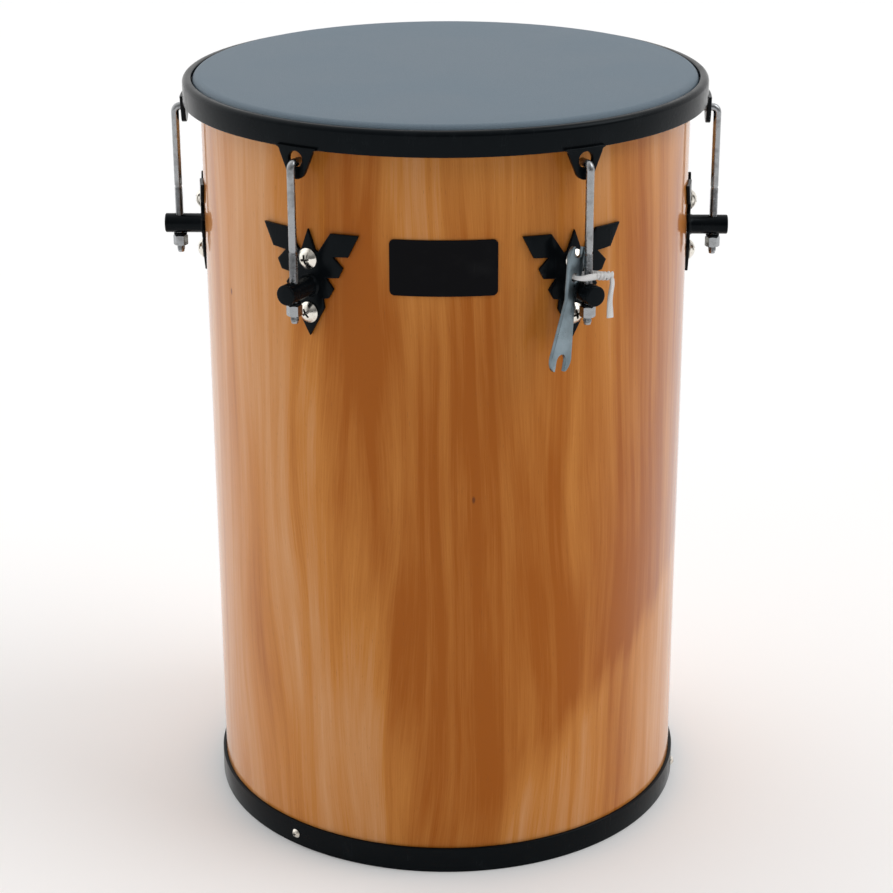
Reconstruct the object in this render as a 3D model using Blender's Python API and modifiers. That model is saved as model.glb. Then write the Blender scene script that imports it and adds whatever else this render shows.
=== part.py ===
# Rebolo drum: a straight wooden hand drum with a black head tuned by six hook rods.
# Metres, +Z up, origin at the centre of the bottom ring's underside, front towards -Y.

import bpy
import bmesh
from math import acos, asin, atan2, cos, degrees, hypot, pi, radians, sin, sqrt
from mathutils import Matrix, Vector

MM = 0.001
WELD = 0.001 * MM               # points this close are one point

# Clearances
CONTACT_GAP = 0.3 * MM          # air left between pieces that touch
POST_BORE_PLAY = 0.5 * MM       # a rod's thread inside the hole of its post

# Shell: one straight wooden tube, open below
DRUM_HEIGHT = 474.5 * MM        # floor to playing surface
SHELL_RADIUS = 150 * MM
SHELL_WALL = 7 * MM
BEARING_EDGE_CUT = 4.5 * MM     # 45 degree cut inside the top edge
BEARING_EDGE_ROUND = 1.5 * MM   # round outside the top edge

# Bottom ring: a steel band round the shell with a narrow foot under its edge
RING_HEIGHT = 16.3 * MM
RING_WALL = 2 * MM
RING_FOOT_WIDTH = 6 * MM
RING_FOOT_THICKNESS = 1.5 * MM
RING_EDGE = 0.5 * MM
RING_SCREW_COUNT = 3
RING_SCREW_HEIGHT = 8 * MM
RING_SCREW_TURN = radians(-38)  # first screw, from the front towards +X
RING_SCREW_SHANK = 1.5 * MM
RING_SCREW_HEAD = 3 * MM
RING_SCREW_DOME = 1.8 * MM
RING_SCREW_BITE = 4.5 * MM      # depth in the wood

# Head: a film over the bearing edge, held in a channel hoop
FILM_THICKNESS = 1 * MM
FILM_SHOULDER = 4.8 * MM        # outer radius of the film's bend over the edge
CHANNEL_CLEARANCE = 2.1 * MM    # shell to channel hoop
CHANNEL_WIDTH = 5.2 * MM
CHANNEL_HEIGHT = 6.5 * MM
CHANNEL_WALL = 0.9 * MM

# Counterhoop: a flanged steel hoop that presses the channel hoop down
HOOP_BELOW_HEAD = 2 * MM        # the head stands this far above the hoop
HOOP_HEIGHT = 14.7 * MM
HOOP_WALL = 2.5 * MM
HOOP_FLANGE_THICKNESS = 2.5 * MM
HOOP_ROUND = 3 * MM
HOOP_LIP = 0.8 * MM
HOOP_SLACK = 0.7 * MM           # channel hoop to hoop wall, and film to flange

# Ears: six tabs under the hoop, each with a round hole for a hook
LUG_COUNT = 6
FIRST_LUG_TURN = radians(30)    # from the front towards +X
EAR_THICKNESS = 3 * MM
EAR_LAP = 0.8 * MM              # how deep the ear's plate runs into the hoop's wall
EAR_LAP_HEIGHT = 2.5 * MM
EAR_HALF_WIDTH = 10.9 * MM
EAR_FILLET = 2.2 * MM
EAR_FILLET_TUCK = 0.4 * MM      # the fillets start this far above the hoop's lower edge
EAR_DROP = 17.1 * MM
EAR_END_RADIUS = 6.4 * MM
EAR_HOLE_RADIUS = 4.6 * MM
EAR_HOLE_DROP = 5.5 * MM        # hoop's lower edge to the hole's centre

# Rods, washers and nuts
ROD_STAND_OFF = 1.9 * MM        # ear's face to the rod's straight shank
ROD_SHANK_RADIUS = 2.4 * MM
ROD_THREAD_RADIUS = 2.5 * MM
ROD_THREAD_LENGTH = 42.5 * MM
ROD_BEND_RADIUS = 3.5 * MM
ROD_HOOK_TAIL = 2 * MM          # hook end past the ear's inner face
ROD_STICK_OUT = 4.5 * MM        # thread below the nut
NUT_ACROSS_FLATS = 8 * MM
NUT_HEIGHT = 6.5 * MM
WASHER_RADIUS = 4.2 * MM
WASHER_THICKNESS = 1 * MM

# Lugs: a winged plate, a round post and two screws through the shell
POST_DROP = 98.5 * MM           # playing surface down to the post's axis
POST_RADIUS = 6 * MM
POST_END_BEYOND_ROD = 9 * MM
POST_EDGE = 0.8 * MM
POST_WELD = 1 * MM              # how deep the post's end runs into the plate
PLATE_THICKNESS = 2 * MM
PLATE_HALF_WIDTH = 32.5 * MM
PLATE_ABOVE_POST = 33.5 * MM    # up to the tip of the middle spike
PLATE_BELOW_POST = 30.2 * MM    # down to the tail
LUG_SCREW_SPACING = 32 * MM
LUG_SCREW_SHANK = 2.5 * MM
LUG_SCREW_HEAD = 6.2 * MM
LUG_SCREW_DOME = 3.8 * MM
LUG_SCREW_STICK_OUT = 1.5 * MM
INNER_NUT_ACROSS_FLATS = 8 * MM
INNER_NUT_HEIGHT = 4.5 * MM
INNER_NUT_FLANGE = 5 * MM       # radius of its washer face
INNER_NUT_FLANGE_THICKNESS = 1 * MM

# Badge: a small bare plate glued between the two front lugs
BADGE_WIDTH = 62 * MM
BADGE_HEIGHT = 33 * MM
BADGE_THICKNESS = 0.6 * MM
BADGE_CORNER = 3 * MM
BADGE_ABOVE_POST = 15.7 * MM    # post's axis up to the badge's centre
BADGE_SIDEWAYS = 1.8 * MM

# Tuning key: a flat spanner with two open jaws, hung by a cord through its hole
KEY_THICKNESS = 2.3 * MM
KEY_HOLE_RADIUS = 2.75 * MM
KEY_HOLE_ABOVE_POST = 10.3 * MM
KEY_HOLE_SIDEWAYS = -9.2 * MM   # along the shell, from the rod
KEY_HOLE_OUTWARD = -1.1 * MM    # from the rod's axis
KEY_TURN = radians(19)          # its right side turned in behind the rod
KEY_LEAN = radians(-13)         # its top leaned towards the rod
KEY_JAW_PLAY = 0.2 * MM
KEY_SMALL_JAW = 6.6 * MM
KEY_SMALL_HEAD = 7.4 * MM
KEY_SMALL_HEAD_HEIGHT = 12 * MM
KEY_SMALL_JAW_BOTTOM = 11.2 * MM
KEY_TOP = 17.6 * MM
KEY_WAIST = 3.6 * MM
KEY_WAIST_HEIGHT = -13 * MM
KEY_BIG_HEAD = 8.9 * MM
KEY_BIG_HEAD_HEIGHT = -47.5 * MM
KEY_BIG_JAW_BOTTOM = -44.5 * MM
KEY_BOTTOM = -54.5 * MM

# Cord: a limp cotton cord tied round the rod above the post
CORD_RADIUS = 1.2 * MM

# Roundness
DRUM_STEPS = 60
FINE_STEPS = 12
PLATE_STRIP = 5 * MM            # a bent plate's facets are about this wide

# Radii worked out from the shell outwards
shell_inner = SHELL_RADIUS - SHELL_WALL
ring_inner = SHELL_RADIUS + CONTACT_GAP
ring_outer = ring_inner + RING_WALL
channel_inner = SHELL_RADIUS + CHANNEL_CLEARANCE
channel_outer = channel_inner + CHANNEL_WIDTH
film_outer = channel_inner + CHANNEL_WALL + CONTACT_GAP + FILM_THICKNESS
flange_inner = film_outer + HOOP_SLACK
hoop_inner = channel_outer + HOOP_SLACK
hoop_outer = hoop_inner + HOOP_WALL
ear_inner = hoop_outer - EAR_LAP
ear_outer = ear_inner + EAR_THICKNESS
rod_distance = ear_outer + ROD_STAND_OFF + ROD_SHANK_RADIUS
plate_inner = SHELL_RADIUS + CONTACT_GAP
plate_outer = plate_inner + PLATE_THICKNESS
post_inner_end = plate_outer - POST_WELD
post_outer_end = rod_distance + POST_END_BEYOND_ROD

# Heights worked out from the playing surface down
film_under = DRUM_HEIGHT - FILM_THICKNESS
shell_top = film_under - CONTACT_GAP
shell_bottom = RING_FOOT_THICKNESS + CONTACT_GAP
shoulder_height = DRUM_HEIGHT - FILM_SHOULDER
hoop_top = DRUM_HEIGHT - HOOP_BELOW_HEAD
hoop_bottom = hoop_top - HOOP_HEIGHT
flange_under = hoop_top - HOOP_FLANGE_THICKNESS
channel_top = flange_under - CONTACT_GAP
channel_bottom = channel_top - CHANNEL_HEIGHT
ear_hole_height = hoop_bottom - EAR_HOLE_DROP
hook_height = ear_hole_height - (EAR_HOLE_RADIUS - ROD_SHANK_RADIUS - CONTACT_GAP)
post_height = DRUM_HEIGHT - POST_DROP
washer_top = post_height - POST_RADIUS - CONTACT_GAP
nut_top = washer_top - WASHER_THICKNESS - CONTACT_GAP
rod_bottom = nut_top - NUT_HEIGHT - ROD_STICK_OUT
key_hole_height = post_height + KEY_HOLE_ABOVE_POST


def new_collection(name):
    group = bpy.data.collections.new(name)
    bpy.context.scene.collection.children.link(group)
    return group


for old in list(bpy.data.objects):
    bpy.data.objects.remove(old, do_unlink=True)
PARTS = new_collection("rebolo_drum")
CUTTERS = new_collection("cutters")


def material(name, colour, roughness, metallic):
    made = bpy.data.materials.new(name)
    made.use_nodes = True
    shader = made.node_tree.nodes["Principled BSDF"]
    shader.inputs["Base Color"].default_value = (*colour, 1)
    shader.inputs["Roughness"].default_value = roughness
    shader.inputs["Metallic"].default_value = metallic
    return made


def add_object(name, data, group=PARTS):
    ob = bpy.data.objects.new(name, data)
    group.objects.link(ob)
    return ob


def evaluated_mesh(ob, name):
    """The finished mesh of a helper object, in world space, welded; the helper goes."""
    bpy.context.view_layer.update()
    graph = bpy.context.evaluated_depsgraph_get()
    mesh = bpy.data.meshes.new_from_object(ob.evaluated_get(graph))
    mesh.transform(ob.matrix_world)
    mesh.name = name
    bpy.data.objects.remove(ob, do_unlink=True)
    work = bmesh.new()
    work.from_mesh(mesh)
    bmesh.ops.remove_doubles(work, verts=work.verts, dist=WELD)
    work.to_mesh(mesh)
    work.free()
    return mesh


def shade(mesh):
    mesh.shade_smooth()
    mesh.set_sharp_from_angle(angle=radians(35))


def finish(name, mesh, look, place=Matrix.Identity(4)):
    """Make the named sub-part from a mesh, shaded and with its own material."""
    if not mesh.materials:
        mesh.materials.append(look)
    shade(mesh)
    ob = add_object(name, mesh)
    ob.matrix_world = place
    return ob


def finish_turned(ob, look):
    """Give a turned sub-part its material; its modifiers stay live."""
    ob.data.materials.append(look)
    ob.data.shade_smooth()
    return ob


def turned(name, profile, steps, closed=True, group=PARTS):
    """A turned body; its profile runs down the outer side and back up inside."""
    mesh = bpy.data.meshes.new(name)
    count = len(profile)
    edges = [(i, i + 1) for i in range(count - 1)]
    if closed:
        edges.append((count - 1, 0))
    mesh.from_pydata([(r, 0, z) for r, z in profile], edges, [])
    ob = add_object(name, mesh, group)
    screw = ob.modifiers.new("Turn", 'SCREW')
    screw.axis = 'Z'
    screw.steps = steps
    screw.render_steps = steps
    screw.use_merge_vertices = True
    screw.merge_threshold = WELD
    return ob


def arc(centre, radius, start, end, steps):
    """Points of an arc in a profile or an outline, angles in degrees."""
    angles = [radians(start + (end - start) * i / steps) for i in range(steps + 1)]
    return [(centre[0] + radius * cos(a), centre[1] + radius * sin(a)) for a in angles]


def cylinder_cutter(name, bars, steps=FINE_STEPS):
    """Round bars for cutting holes; each bar is (matrix, radius, length)."""
    mesh = bpy.data.meshes.new(name)
    work = bmesh.new()
    for place, radius, length in bars:
        bmesh.ops.create_cone(work, cap_ends=True, segments=steps, radius1=radius,
                              radius2=radius, depth=length, matrix=place)
    work.to_mesh(mesh)
    work.free()
    ob = add_object(name, mesh, CUTTERS)
    ob.hide_render = True
    ob.display_type = 'WIRE'
    return ob


def boolean(ob, other, operation='DIFFERENCE'):
    step = ob.modifiers.new(operation.title(), 'BOOLEAN')
    step.operation = operation
    step.solver = 'EXACT'
    step.object = other
    return step


def outward_at(turn, distance, height):
    """Place whose Z axis points outwards from the drum at an angle from the front."""
    return (Matrix.Rotation(turn, 4, 'Z') @ Matrix.Translation((0, -distance, height))
            @ Matrix.Rotation(radians(90), 4, 'X'))


def lug_turn(index):
    return FIRST_LUG_TURN + index * 2 * pi / LUG_COUNT


def flat_plate(name, outline, thickness):
    """A flat outline with thickness, centred on its own XY plane, as one clean mesh."""
    curve = bpy.data.curves.new(name, 'CURVE')
    curve.dimensions = '2D'
    curve.fill_mode = 'BOTH'
    curve.extrude = thickness / 2
    spline = curve.splines.new('POLY')
    spline.points.add(len(outline) - 1)
    for point, (x, y) in zip(spline.points, outline):
        point.co = (x, y, 0, 1)
    spline.use_cyclic_u = True
    mesh = evaluated_mesh(add_object(name, curve), name)
    work = bmesh.new()
    work.from_mesh(mesh)
    bmesh.ops.dissolve_limit(work, angle_limit=radians(0.5), verts=work.verts,
                             edges=work.edges)
    work.to_mesh(mesh)
    work.free()
    return mesh


def bend_round_drum(mesh, radius, height):
    """Bend a flat plate round the drum's axis, its middle layer at this radius."""
    work = bmesh.new()
    work.from_mesh(mesh)
    bmesh.ops.triangulate(work, faces=work.faces)
    reach = max(abs(v.co.x) for v in work.verts)
    strips = int(reach / PLATE_STRIP)
    for i in range(-strips, strips + 1):
        everything = list(work.verts) + list(work.edges) + list(work.faces)
        bmesh.ops.bisect_plane(work, geom=everything, dist=0.001 * MM,
                               plane_co=(i * PLATE_STRIP, 0, 0), plane_no=(1, 0, 0))
    for v in work.verts:
        turn = v.co.x / radius
        away = radius + v.co.z
        v.co = (away * sin(turn), -away * cos(turn), height + v.co.y)
    bmesh.ops.triangulate(work, faces=work.faces)
    work.to_mesh(mesh)
    work.free()
    return mesh


def repeated(name, mesh, places):
    """One mesh that holds the same body at several places."""
    joined = bpy.data.meshes.new(name)
    work = bmesh.new()
    for place in places:
        copy = mesh.copy()
        copy.transform(place)
        work.from_mesh(copy)
        bpy.data.meshes.remove(copy)
    work.to_mesh(joined)
    work.free()
    return joined


# Looks of the real surfaces
wood = material("lacquered_wood", (0.56, 0.27, 0.10), 0.25, 0)
black_paint = material("black_paint", (0.012, 0.013, 0.016), 0.22, 0)
black_film = material("black_film", (0.03, 0.036, 0.042), 0.6, 0)
zinc = material("zinc_plating", (0.62, 0.64, 0.66), 0.3, 1)
nickel = material("nickel_plating", (0.74, 0.71, 0.64), 0.22, 1)
aluminium = material("aluminium", (0.7, 0.7, 0.71), 0.35, 1)
cotton = material("cotton", (0.85, 0.84, 0.82), 0.9, 0)
badge_black = material("badge_black", (0.015, 0.015, 0.017), 0.3, 0)

# The place of each lug, turned so that its own -Y points outwards
stations = [Matrix.Rotation(lug_turn(k), 4, 'Z') for k in range(LUG_COUNT)]
screw_heights = [post_height + side * LUG_SCREW_SPACING / 2 for side in (1, -1)]
lug_screw_places = [(lug_turn(k), z) for k in range(LUG_COUNT) for z in screw_heights]
ring_screw_turns = [RING_SCREW_TURN + i * 2 * pi / RING_SCREW_COUNT
                    for i in range(RING_SCREW_COUNT)]


# Shell
def make_shell():
    centre = (SHELL_RADIUS - BEARING_EDGE_ROUND, shell_top - BEARING_EDGE_ROUND)
    profile = [(shell_inner + BEARING_EDGE_CUT, shell_top)]
    profile += arc(centre, BEARING_EDGE_ROUND, 90, 0, 3)
    profile += [(SHELL_RADIUS, shell_bottom), (shell_inner, shell_bottom),
                (shell_inner, shell_top - BEARING_EDGE_CUT)]
    ob = turned("shell", profile, DRUM_STEPS)
    middle = (shell_inner + SHELL_RADIUS) / 2
    bars = [(outward_at(turn, middle, z), LUG_SCREW_SHANK + CONTACT_GAP, 2 * SHELL_WALL)
            for turn, z in lug_screw_places]
    pilot = RING_SCREW_BITE + CONTACT_GAP
    bars += [(outward_at(turn, SHELL_RADIUS, RING_SCREW_HEIGHT),
              RING_SCREW_SHANK + CONTACT_GAP, 2 * pilot) for turn in ring_screw_turns]
    boolean(ob, cylinder_cutter("shell_holes", bars))
    return ob


# Bottom ring and its screws
def make_bottom_ring():
    foot_inner = ring_inner - RING_FOOT_WIDTH
    profile = [(ring_inner, RING_HEIGHT), (ring_outer - RING_EDGE, RING_HEIGHT),
               (ring_outer, RING_HEIGHT - RING_EDGE), (ring_outer, RING_EDGE),
               (ring_outer - RING_EDGE, 0), (foot_inner, 0),
               (foot_inner, RING_FOOT_THICKNESS), (ring_inner, RING_FOOT_THICKNESS)]
    ob = turned("bottom_ring", profile, DRUM_STEPS)
    bars = [(outward_at(turn, ring_outer, RING_SCREW_HEIGHT),
             RING_SCREW_SHANK + CONTACT_GAP, 4 * RING_WALL) for turn in ring_screw_turns]
    boolean(ob, cylinder_cutter("ring_holes", bars))
    return ob


def dome_screw(name, head, dome, shank, length, steps):
    """A dome-headed screw, head up, its head's underside at height 0."""
    ball = (head * head + dome * dome) / (2 * dome)
    profile = [(0, dome)]
    for i in range(1, 3):
        r = head * i / 3
        profile.append((r, sqrt(ball * ball - r * r) - (ball - dome)))
    profile += [(head, 0), (shank, 0), (shank, -length), (0, -length)]
    return evaluated_mesh(turned(name, profile, steps, closed=False), name)


def make_ring_screws():
    seat = ring_outer + CONTACT_GAP
    reach = seat - (SHELL_RADIUS - RING_SCREW_BITE)
    screw = dome_screw("ring_screw", RING_SCREW_HEAD, RING_SCREW_DOME, RING_SCREW_SHANK,
                       reach, FINE_STEPS)
    for i, turn in enumerate(ring_screw_turns, start=1):
        place = outward_at(turn, seat, RING_SCREW_HEIGHT)
        finish(f"bottom_ring_screw_{i}", screw, nickel, place)


# Head film: a flat disc, a bent shoulder and a collar that ends in the channel hoop
def make_head():
    bend = (film_outer - FILM_SHOULDER, shoulder_height)
    collar_end = channel_bottom + CHANNEL_WALL + CONTACT_GAP
    profile = [(0, DRUM_HEIGHT)]
    profile += arc(bend, FILM_SHOULDER, 90, 0, 3)
    profile += [(film_outer, collar_end), (film_outer - FILM_THICKNESS, collar_end)]
    profile += arc(bend, FILM_SHOULDER - FILM_THICKNESS, 0, 90, 3)
    profile.append((0, film_under))
    finish_turned(turned("head_skin", profile, DRUM_STEPS, closed=False), black_film)


# Flesh hoop: a channel, open upwards, that holds the film's edge
def make_flesh_hoop():
    wall = CHANNEL_WALL
    profile = [(channel_outer, channel_top), (channel_outer, channel_bottom),
               (channel_inner, channel_bottom), (channel_inner, channel_top),
               (channel_inner + wall, channel_top),
               (channel_inner + wall, channel_bottom + wall),
               (channel_outer - wall, channel_bottom + wall),
               (channel_outer - wall, channel_top)]
    finish_turned(turned("flesh_hoop", profile, DRUM_STEPS), aluminium)


# Ear outline: x along the hoop, y up from the hoop's lower edge
def ear_outline():
    end = (0, EAR_END_RADIUS - EAR_DROP)
    across = EAR_HALF_WIDTH
    fillet_height = EAR_FILLET_TUCK - EAR_FILLET
    above_end = fillet_height - end[1]
    tangent = atan2(above_end, across) - acos(EAR_END_RADIUS / hypot(across, above_end))
    half = [(EAR_HALF_WIDTH + EAR_FILLET, EAR_LAP_HEIGHT)]
    half += arc((EAR_HALF_WIDTH + EAR_FILLET, fillet_height), EAR_FILLET, 90, 180, 3)
    half += arc(end, EAR_END_RADIUS, degrees(tangent), -90, 3)
    return half + [(-x, y) for x, y in reversed(half[:-1])]


# Counterhoop: a flanged ring with its ears welded on
def make_counterhoop():
    corner = (hoop_outer - HOOP_ROUND, hoop_top - HOOP_ROUND)
    profile = [(flange_inner + HOOP_LIP, hoop_top)]
    profile += arc(corner, HOOP_ROUND, 90, 0, 4)
    profile += [(hoop_outer, hoop_bottom), (hoop_inner, hoop_bottom),
                (hoop_inner, flange_under), (flange_inner, flange_under),
                (flange_inner, hoop_top - HOOP_LIP)]
    ob = turned("counterhoop", profile, DRUM_STEPS)
    flat = flat_plate("ear", ear_outline(), EAR_THICKNESS)
    ear = bend_round_drum(flat, (ear_inner + ear_outer) / 2, hoop_bottom)
    ears = add_object("ears", repeated("ears", ear, stations), CUTTERS)
    ears.hide_render = True
    ears.display_type = 'WIRE'
    boolean(ob, ears, 'UNION')
    middle = (ear_inner + ear_outer) / 2
    bars = [(outward_at(lug_turn(k), middle, ear_hole_height), EAR_HOLE_RADIUS,
             3 * EAR_THICKNESS) for k in range(LUG_COUNT)]
    boolean(ob, cylinder_cutter("ear_holes", bars, 20))
    finish_turned(ob, black_paint)


# Hook rod: a hook through the ear, a straight shank and a thicker rolled thread
def rod_mesh():
    bend_centre = (rod_distance - ROD_BEND_RADIUS, hook_height - ROD_BEND_RADIUS)
    thick = ROD_THREAD_RADIUS / ROD_SHANK_RADIUS
    thread_top = rod_bottom + ROD_THREAD_LENGTH
    chamfer = ROD_THREAD_RADIUS - 0.8 * ROD_SHANK_RADIUS
    path = [(ear_inner - ROD_HOOK_TAIL, hook_height, 1)]
    path += [(r, z, 1) for r, z in arc(bend_centre, ROD_BEND_RADIUS, 90, 0, 4)]
    path += [(rod_distance, thread_top, 1), (rod_distance, thread_top - CONTACT_GAP, thick),
             (rod_distance, rod_bottom + chamfer, thick), (rod_distance, rod_bottom, 0.8)]
    curve = bpy.data.curves.new("rod", 'CURVE')
    curve.dimensions = '3D'
    curve.bevel_depth = ROD_SHANK_RADIUS
    curve.bevel_resolution = 3
    curve.use_fill_caps = True
    spline = curve.splines.new('POLY')
    spline.points.add(len(path) - 1)
    for point, (away, z, size) in zip(spline.points, path):
        point.co = (0, -(away - rod_distance), z - hook_height, 1)
        point.radius = size
    return evaluated_mesh(add_object("rod", curve), "tension_rod")


def hex_nut_mesh(name, across_flats, height, bore, flange=0, flange_thickness=0):
    """A hexagon nut on its own axis, its top face at height 0; it may have a washer face."""
    corner = across_flats / 2 / cos(pi / 6)
    top = -flange_thickness / 2
    mesh = bpy.data.meshes.new(name)
    work = bmesh.new()
    bmesh.ops.create_cone(work, cap_ends=True, segments=6, radius1=corner, radius2=corner,
                          depth=top + height,
                          matrix=Matrix.Translation((0, 0, (top - height) / 2)))
    work.to_mesh(mesh)
    work.free()
    ob = add_object(name, mesh)
    helpers = []
    if flange:
        middle = Matrix.Translation((0, 0, -flange_thickness / 2))
        helpers.append(cylinder_cutter(name + "_flange", [(middle, flange, flange_thickness)]))
        boolean(ob, helpers[0], 'UNION')
    helpers.append(cylinder_cutter(name + "_bore", [(Matrix.Identity(4), bore, 4 * height)]))
    boolean(ob, helpers[-1])
    finished = evaluated_mesh(ob, name)
    for helper in helpers:
        bpy.data.objects.remove(helper, do_unlink=True)
    return finished


def washer_mesh(name, outer, inner, thickness):
    """A flat washer on its own axis, its top face at height 0."""
    profile = [(outer, 0), (outer, -thickness), (inner, -thickness), (inner, 0)]
    return evaluated_mesh(turned(name, profile, FINE_STEPS), name)


# Plate outline: a spike, a wing and three feathers on each side, and a tail;
# x in shares of the half width, y in shares of the reach above or below the post
def plate_outline():
    above = [(0.00, 1.00), (0.14, 0.64), (0.20, 0.61), (0.455, 0.97), (1.00, 0.98),
             (0.79, 0.585), (0.50, 0.56), (0.69, 0.375), (0.60, 0.20), (0.355, 0.175)]
    below = [(0.50, 0.015), (0.40, 0.20), (0.285, 0.23), (0.31, 0.415), (0.00, 1.00)]
    half = [(x * PLATE_HALF_WIDTH, y * PLATE_ABOVE_POST) for x, y in above]
    half += [(x * PLATE_HALF_WIDTH, -y * PLATE_BELOW_POST) for x, y in below]
    return half + [(-x, y) for x, y in reversed(half[1:-1])]


# Post: a round bar that stands out from the plate
def make_post():
    length = post_outer_end - post_inner_end
    profile = [(0, length), (POST_RADIUS - POST_EDGE, length),
               (POST_RADIUS, length - POST_EDGE), (POST_RADIUS, 0), (0, 0)]
    post = turned("post", profile, 16, closed=False)
    post.matrix_world = outward_at(0, post_inner_end, post_height)
    return post


def lug_mesh():
    """The plate with its post welded on and the holes for the rod and the screws."""
    flat = flat_plate("plate", plate_outline(), PLATE_THICKNESS)
    middle = (plate_inner + plate_outer) / 2
    ob = add_object("lug", bend_round_drum(flat, middle, post_height))
    post = make_post()
    boolean(ob, post, 'UNION')
    bars = [(outward_at(0, middle, z), LUG_SCREW_SHANK + CONTACT_GAP, 4 * PLATE_THICKNESS)
            for z in screw_heights]
    bars.append((Matrix.Translation((0, -rod_distance, post_height)),
                 ROD_THREAD_RADIUS + POST_BORE_PLAY, 4 * POST_RADIUS))
    holes = cylinder_cutter("lug_holes", bars)
    boolean(ob, holes)
    finished = evaluated_mesh(ob, "lug")
    for helper in (post, holes):
        bpy.data.objects.remove(helper, do_unlink=True)
    return finished


def make_lugs():
    rod = rod_mesh()
    nut = hex_nut_mesh("tension_nut", NUT_ACROSS_FLATS, NUT_HEIGHT,
                       ROD_THREAD_RADIUS + CONTACT_GAP)
    washer = washer_mesh("rod_washer", WASHER_RADIUS, ROD_THREAD_RADIUS + CONTACT_GAP,
                         WASHER_THICKNESS)
    lug = lug_mesh()
    for k, station in enumerate(stations, start=1):
        for name, mesh, look, z in (("tension_rod", rod, zinc, hook_height),
                                    ("tension_nut", nut, zinc, nut_top),
                                    ("rod_washer", washer, black_paint, washer_top)):
            place = station @ Matrix.Translation((0, -rod_distance, z))
            finish(f"{name}_{k}", mesh, look, place)
        finish(f"lug_{k}", lug, black_paint, station)


# Screws that hold the lugs, each with a nut inside the shell
def make_lug_screws():
    seat = plate_outer + CONTACT_GAP
    nut_seat = shell_inner - CONTACT_GAP
    screw_end = nut_seat - INNER_NUT_HEIGHT - LUG_SCREW_STICK_OUT
    screw = dome_screw("lug_screw", LUG_SCREW_HEAD, LUG_SCREW_DOME, LUG_SCREW_SHANK,
                       seat - screw_end, FINE_STEPS)
    nut = hex_nut_mesh("lug_screw_nut", INNER_NUT_ACROSS_FLATS, INNER_NUT_HEIGHT,
                       LUG_SCREW_SHANK + CONTACT_GAP, INNER_NUT_FLANGE,
                       INNER_NUT_FLANGE_THICKNESS)
    for i, (turn, z) in enumerate(lug_screw_places, start=1):
        finish(f"lug_screw_{i}", screw, nickel, outward_at(turn, seat, z))
        finish(f"lug_screw_nut_{i}", nut, zinc, outward_at(turn, nut_seat, z))


# Badge: a bare plate with rounded corners
def make_badge():
    x = BADGE_WIDTH / 2 - BADGE_CORNER
    y = BADGE_HEIGHT / 2 - BADGE_CORNER
    outline = []
    for centre, start in (((x, y), 0), ((-x, y), 90), ((-x, -y), 180), ((x, -y), 270)):
        outline += arc(centre, BADGE_CORNER, start, start + 90, 3)
    flat = flat_plate("badge", outline, BADGE_THICKNESS)
    middle = SHELL_RADIUS + CONTACT_GAP + BADGE_THICKNESS / 2
    bent = bend_round_drum(flat, middle, post_height + BADGE_ABOVE_POST)
    place = Matrix.Rotation(BADGE_SIDEWAYS / SHELL_RADIUS, 4, 'Z')
    finish("badge", bent, badge_black, place)


# Tuning key: x across, y along, its cord hole at the origin
def key_outline():
    small = KEY_SMALL_JAW / 2
    big = NUT_ACROSS_FLATS / 2 + KEY_JAW_PLAY
    top_end = degrees(asin((KEY_TOP - KEY_SMALL_HEAD_HEIGHT) / KEY_SMALL_HEAD))
    low_end = degrees(asin((KEY_BOTTOM - KEY_BIG_HEAD_HEIGHT) / KEY_BIG_HEAD))
    half = arc((0, KEY_SMALL_JAW_BOTTOM + small), small, -90, 0, 3)
    half.append((small, KEY_TOP))
    half += arc((0, KEY_SMALL_HEAD_HEIGHT), KEY_SMALL_HEAD, top_end, -20, 4)
    half.append((KEY_WAIST, KEY_WAIST_HEIGHT))
    half += arc((0, KEY_BIG_HEAD_HEIGHT), KEY_BIG_HEAD, 15, low_end, 5)
    half.append((big, KEY_BOTTOM))
    half += arc((0, KEY_BIG_JAW_BOTTOM - big), big, 0, 90, 3)
    return half + [(-x, y) for x, y in reversed(half[1:-1])]


def make_key():
    ob = add_object("key", flat_plate("key", key_outline(), KEY_THICKNESS))
    bar = (Matrix.Identity(4), KEY_HOLE_RADIUS, 4 * KEY_THICKNESS)
    cutter = cylinder_cutter("key_hole", [bar])
    boolean(ob, cutter)
    mesh = evaluated_mesh(ob, "tuning_key")
    bpy.data.objects.remove(cutter, do_unlink=True)
    hole = (KEY_HOLE_SIDEWAYS, -rod_distance - KEY_HOLE_OUTWARD, key_hole_height)
    place = (stations[0] @ Matrix.Translation(hole) @ Matrix.Rotation(KEY_TURN, 4, 'Z')
             @ Matrix.Rotation(radians(90), 4, 'X') @ Matrix.Rotation(KEY_LEAN, 4, 'Z'))
    finish("tuning_key", mesh, zinc, place)


def smooth_route(points, steps):
    """Points of a smooth curve through a route's own points."""
    ends = [points[0] * 2 - points[1]] + points + [points[-1] * 2 - points[-2]]
    route = []
    for a, b, c, d in zip(ends, ends[1:], ends[2:], ends[3:]):
        for i in range(steps):
            t = i / steps
            route.append(0.5 * (2 * b + (c - a) * t + (2 * a - 5 * b + 4 * c - d) * t * t
                                + (3 * b - a - 3 * c + d) * t * t * t))
    route.append(points[-1])
    return route


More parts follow.
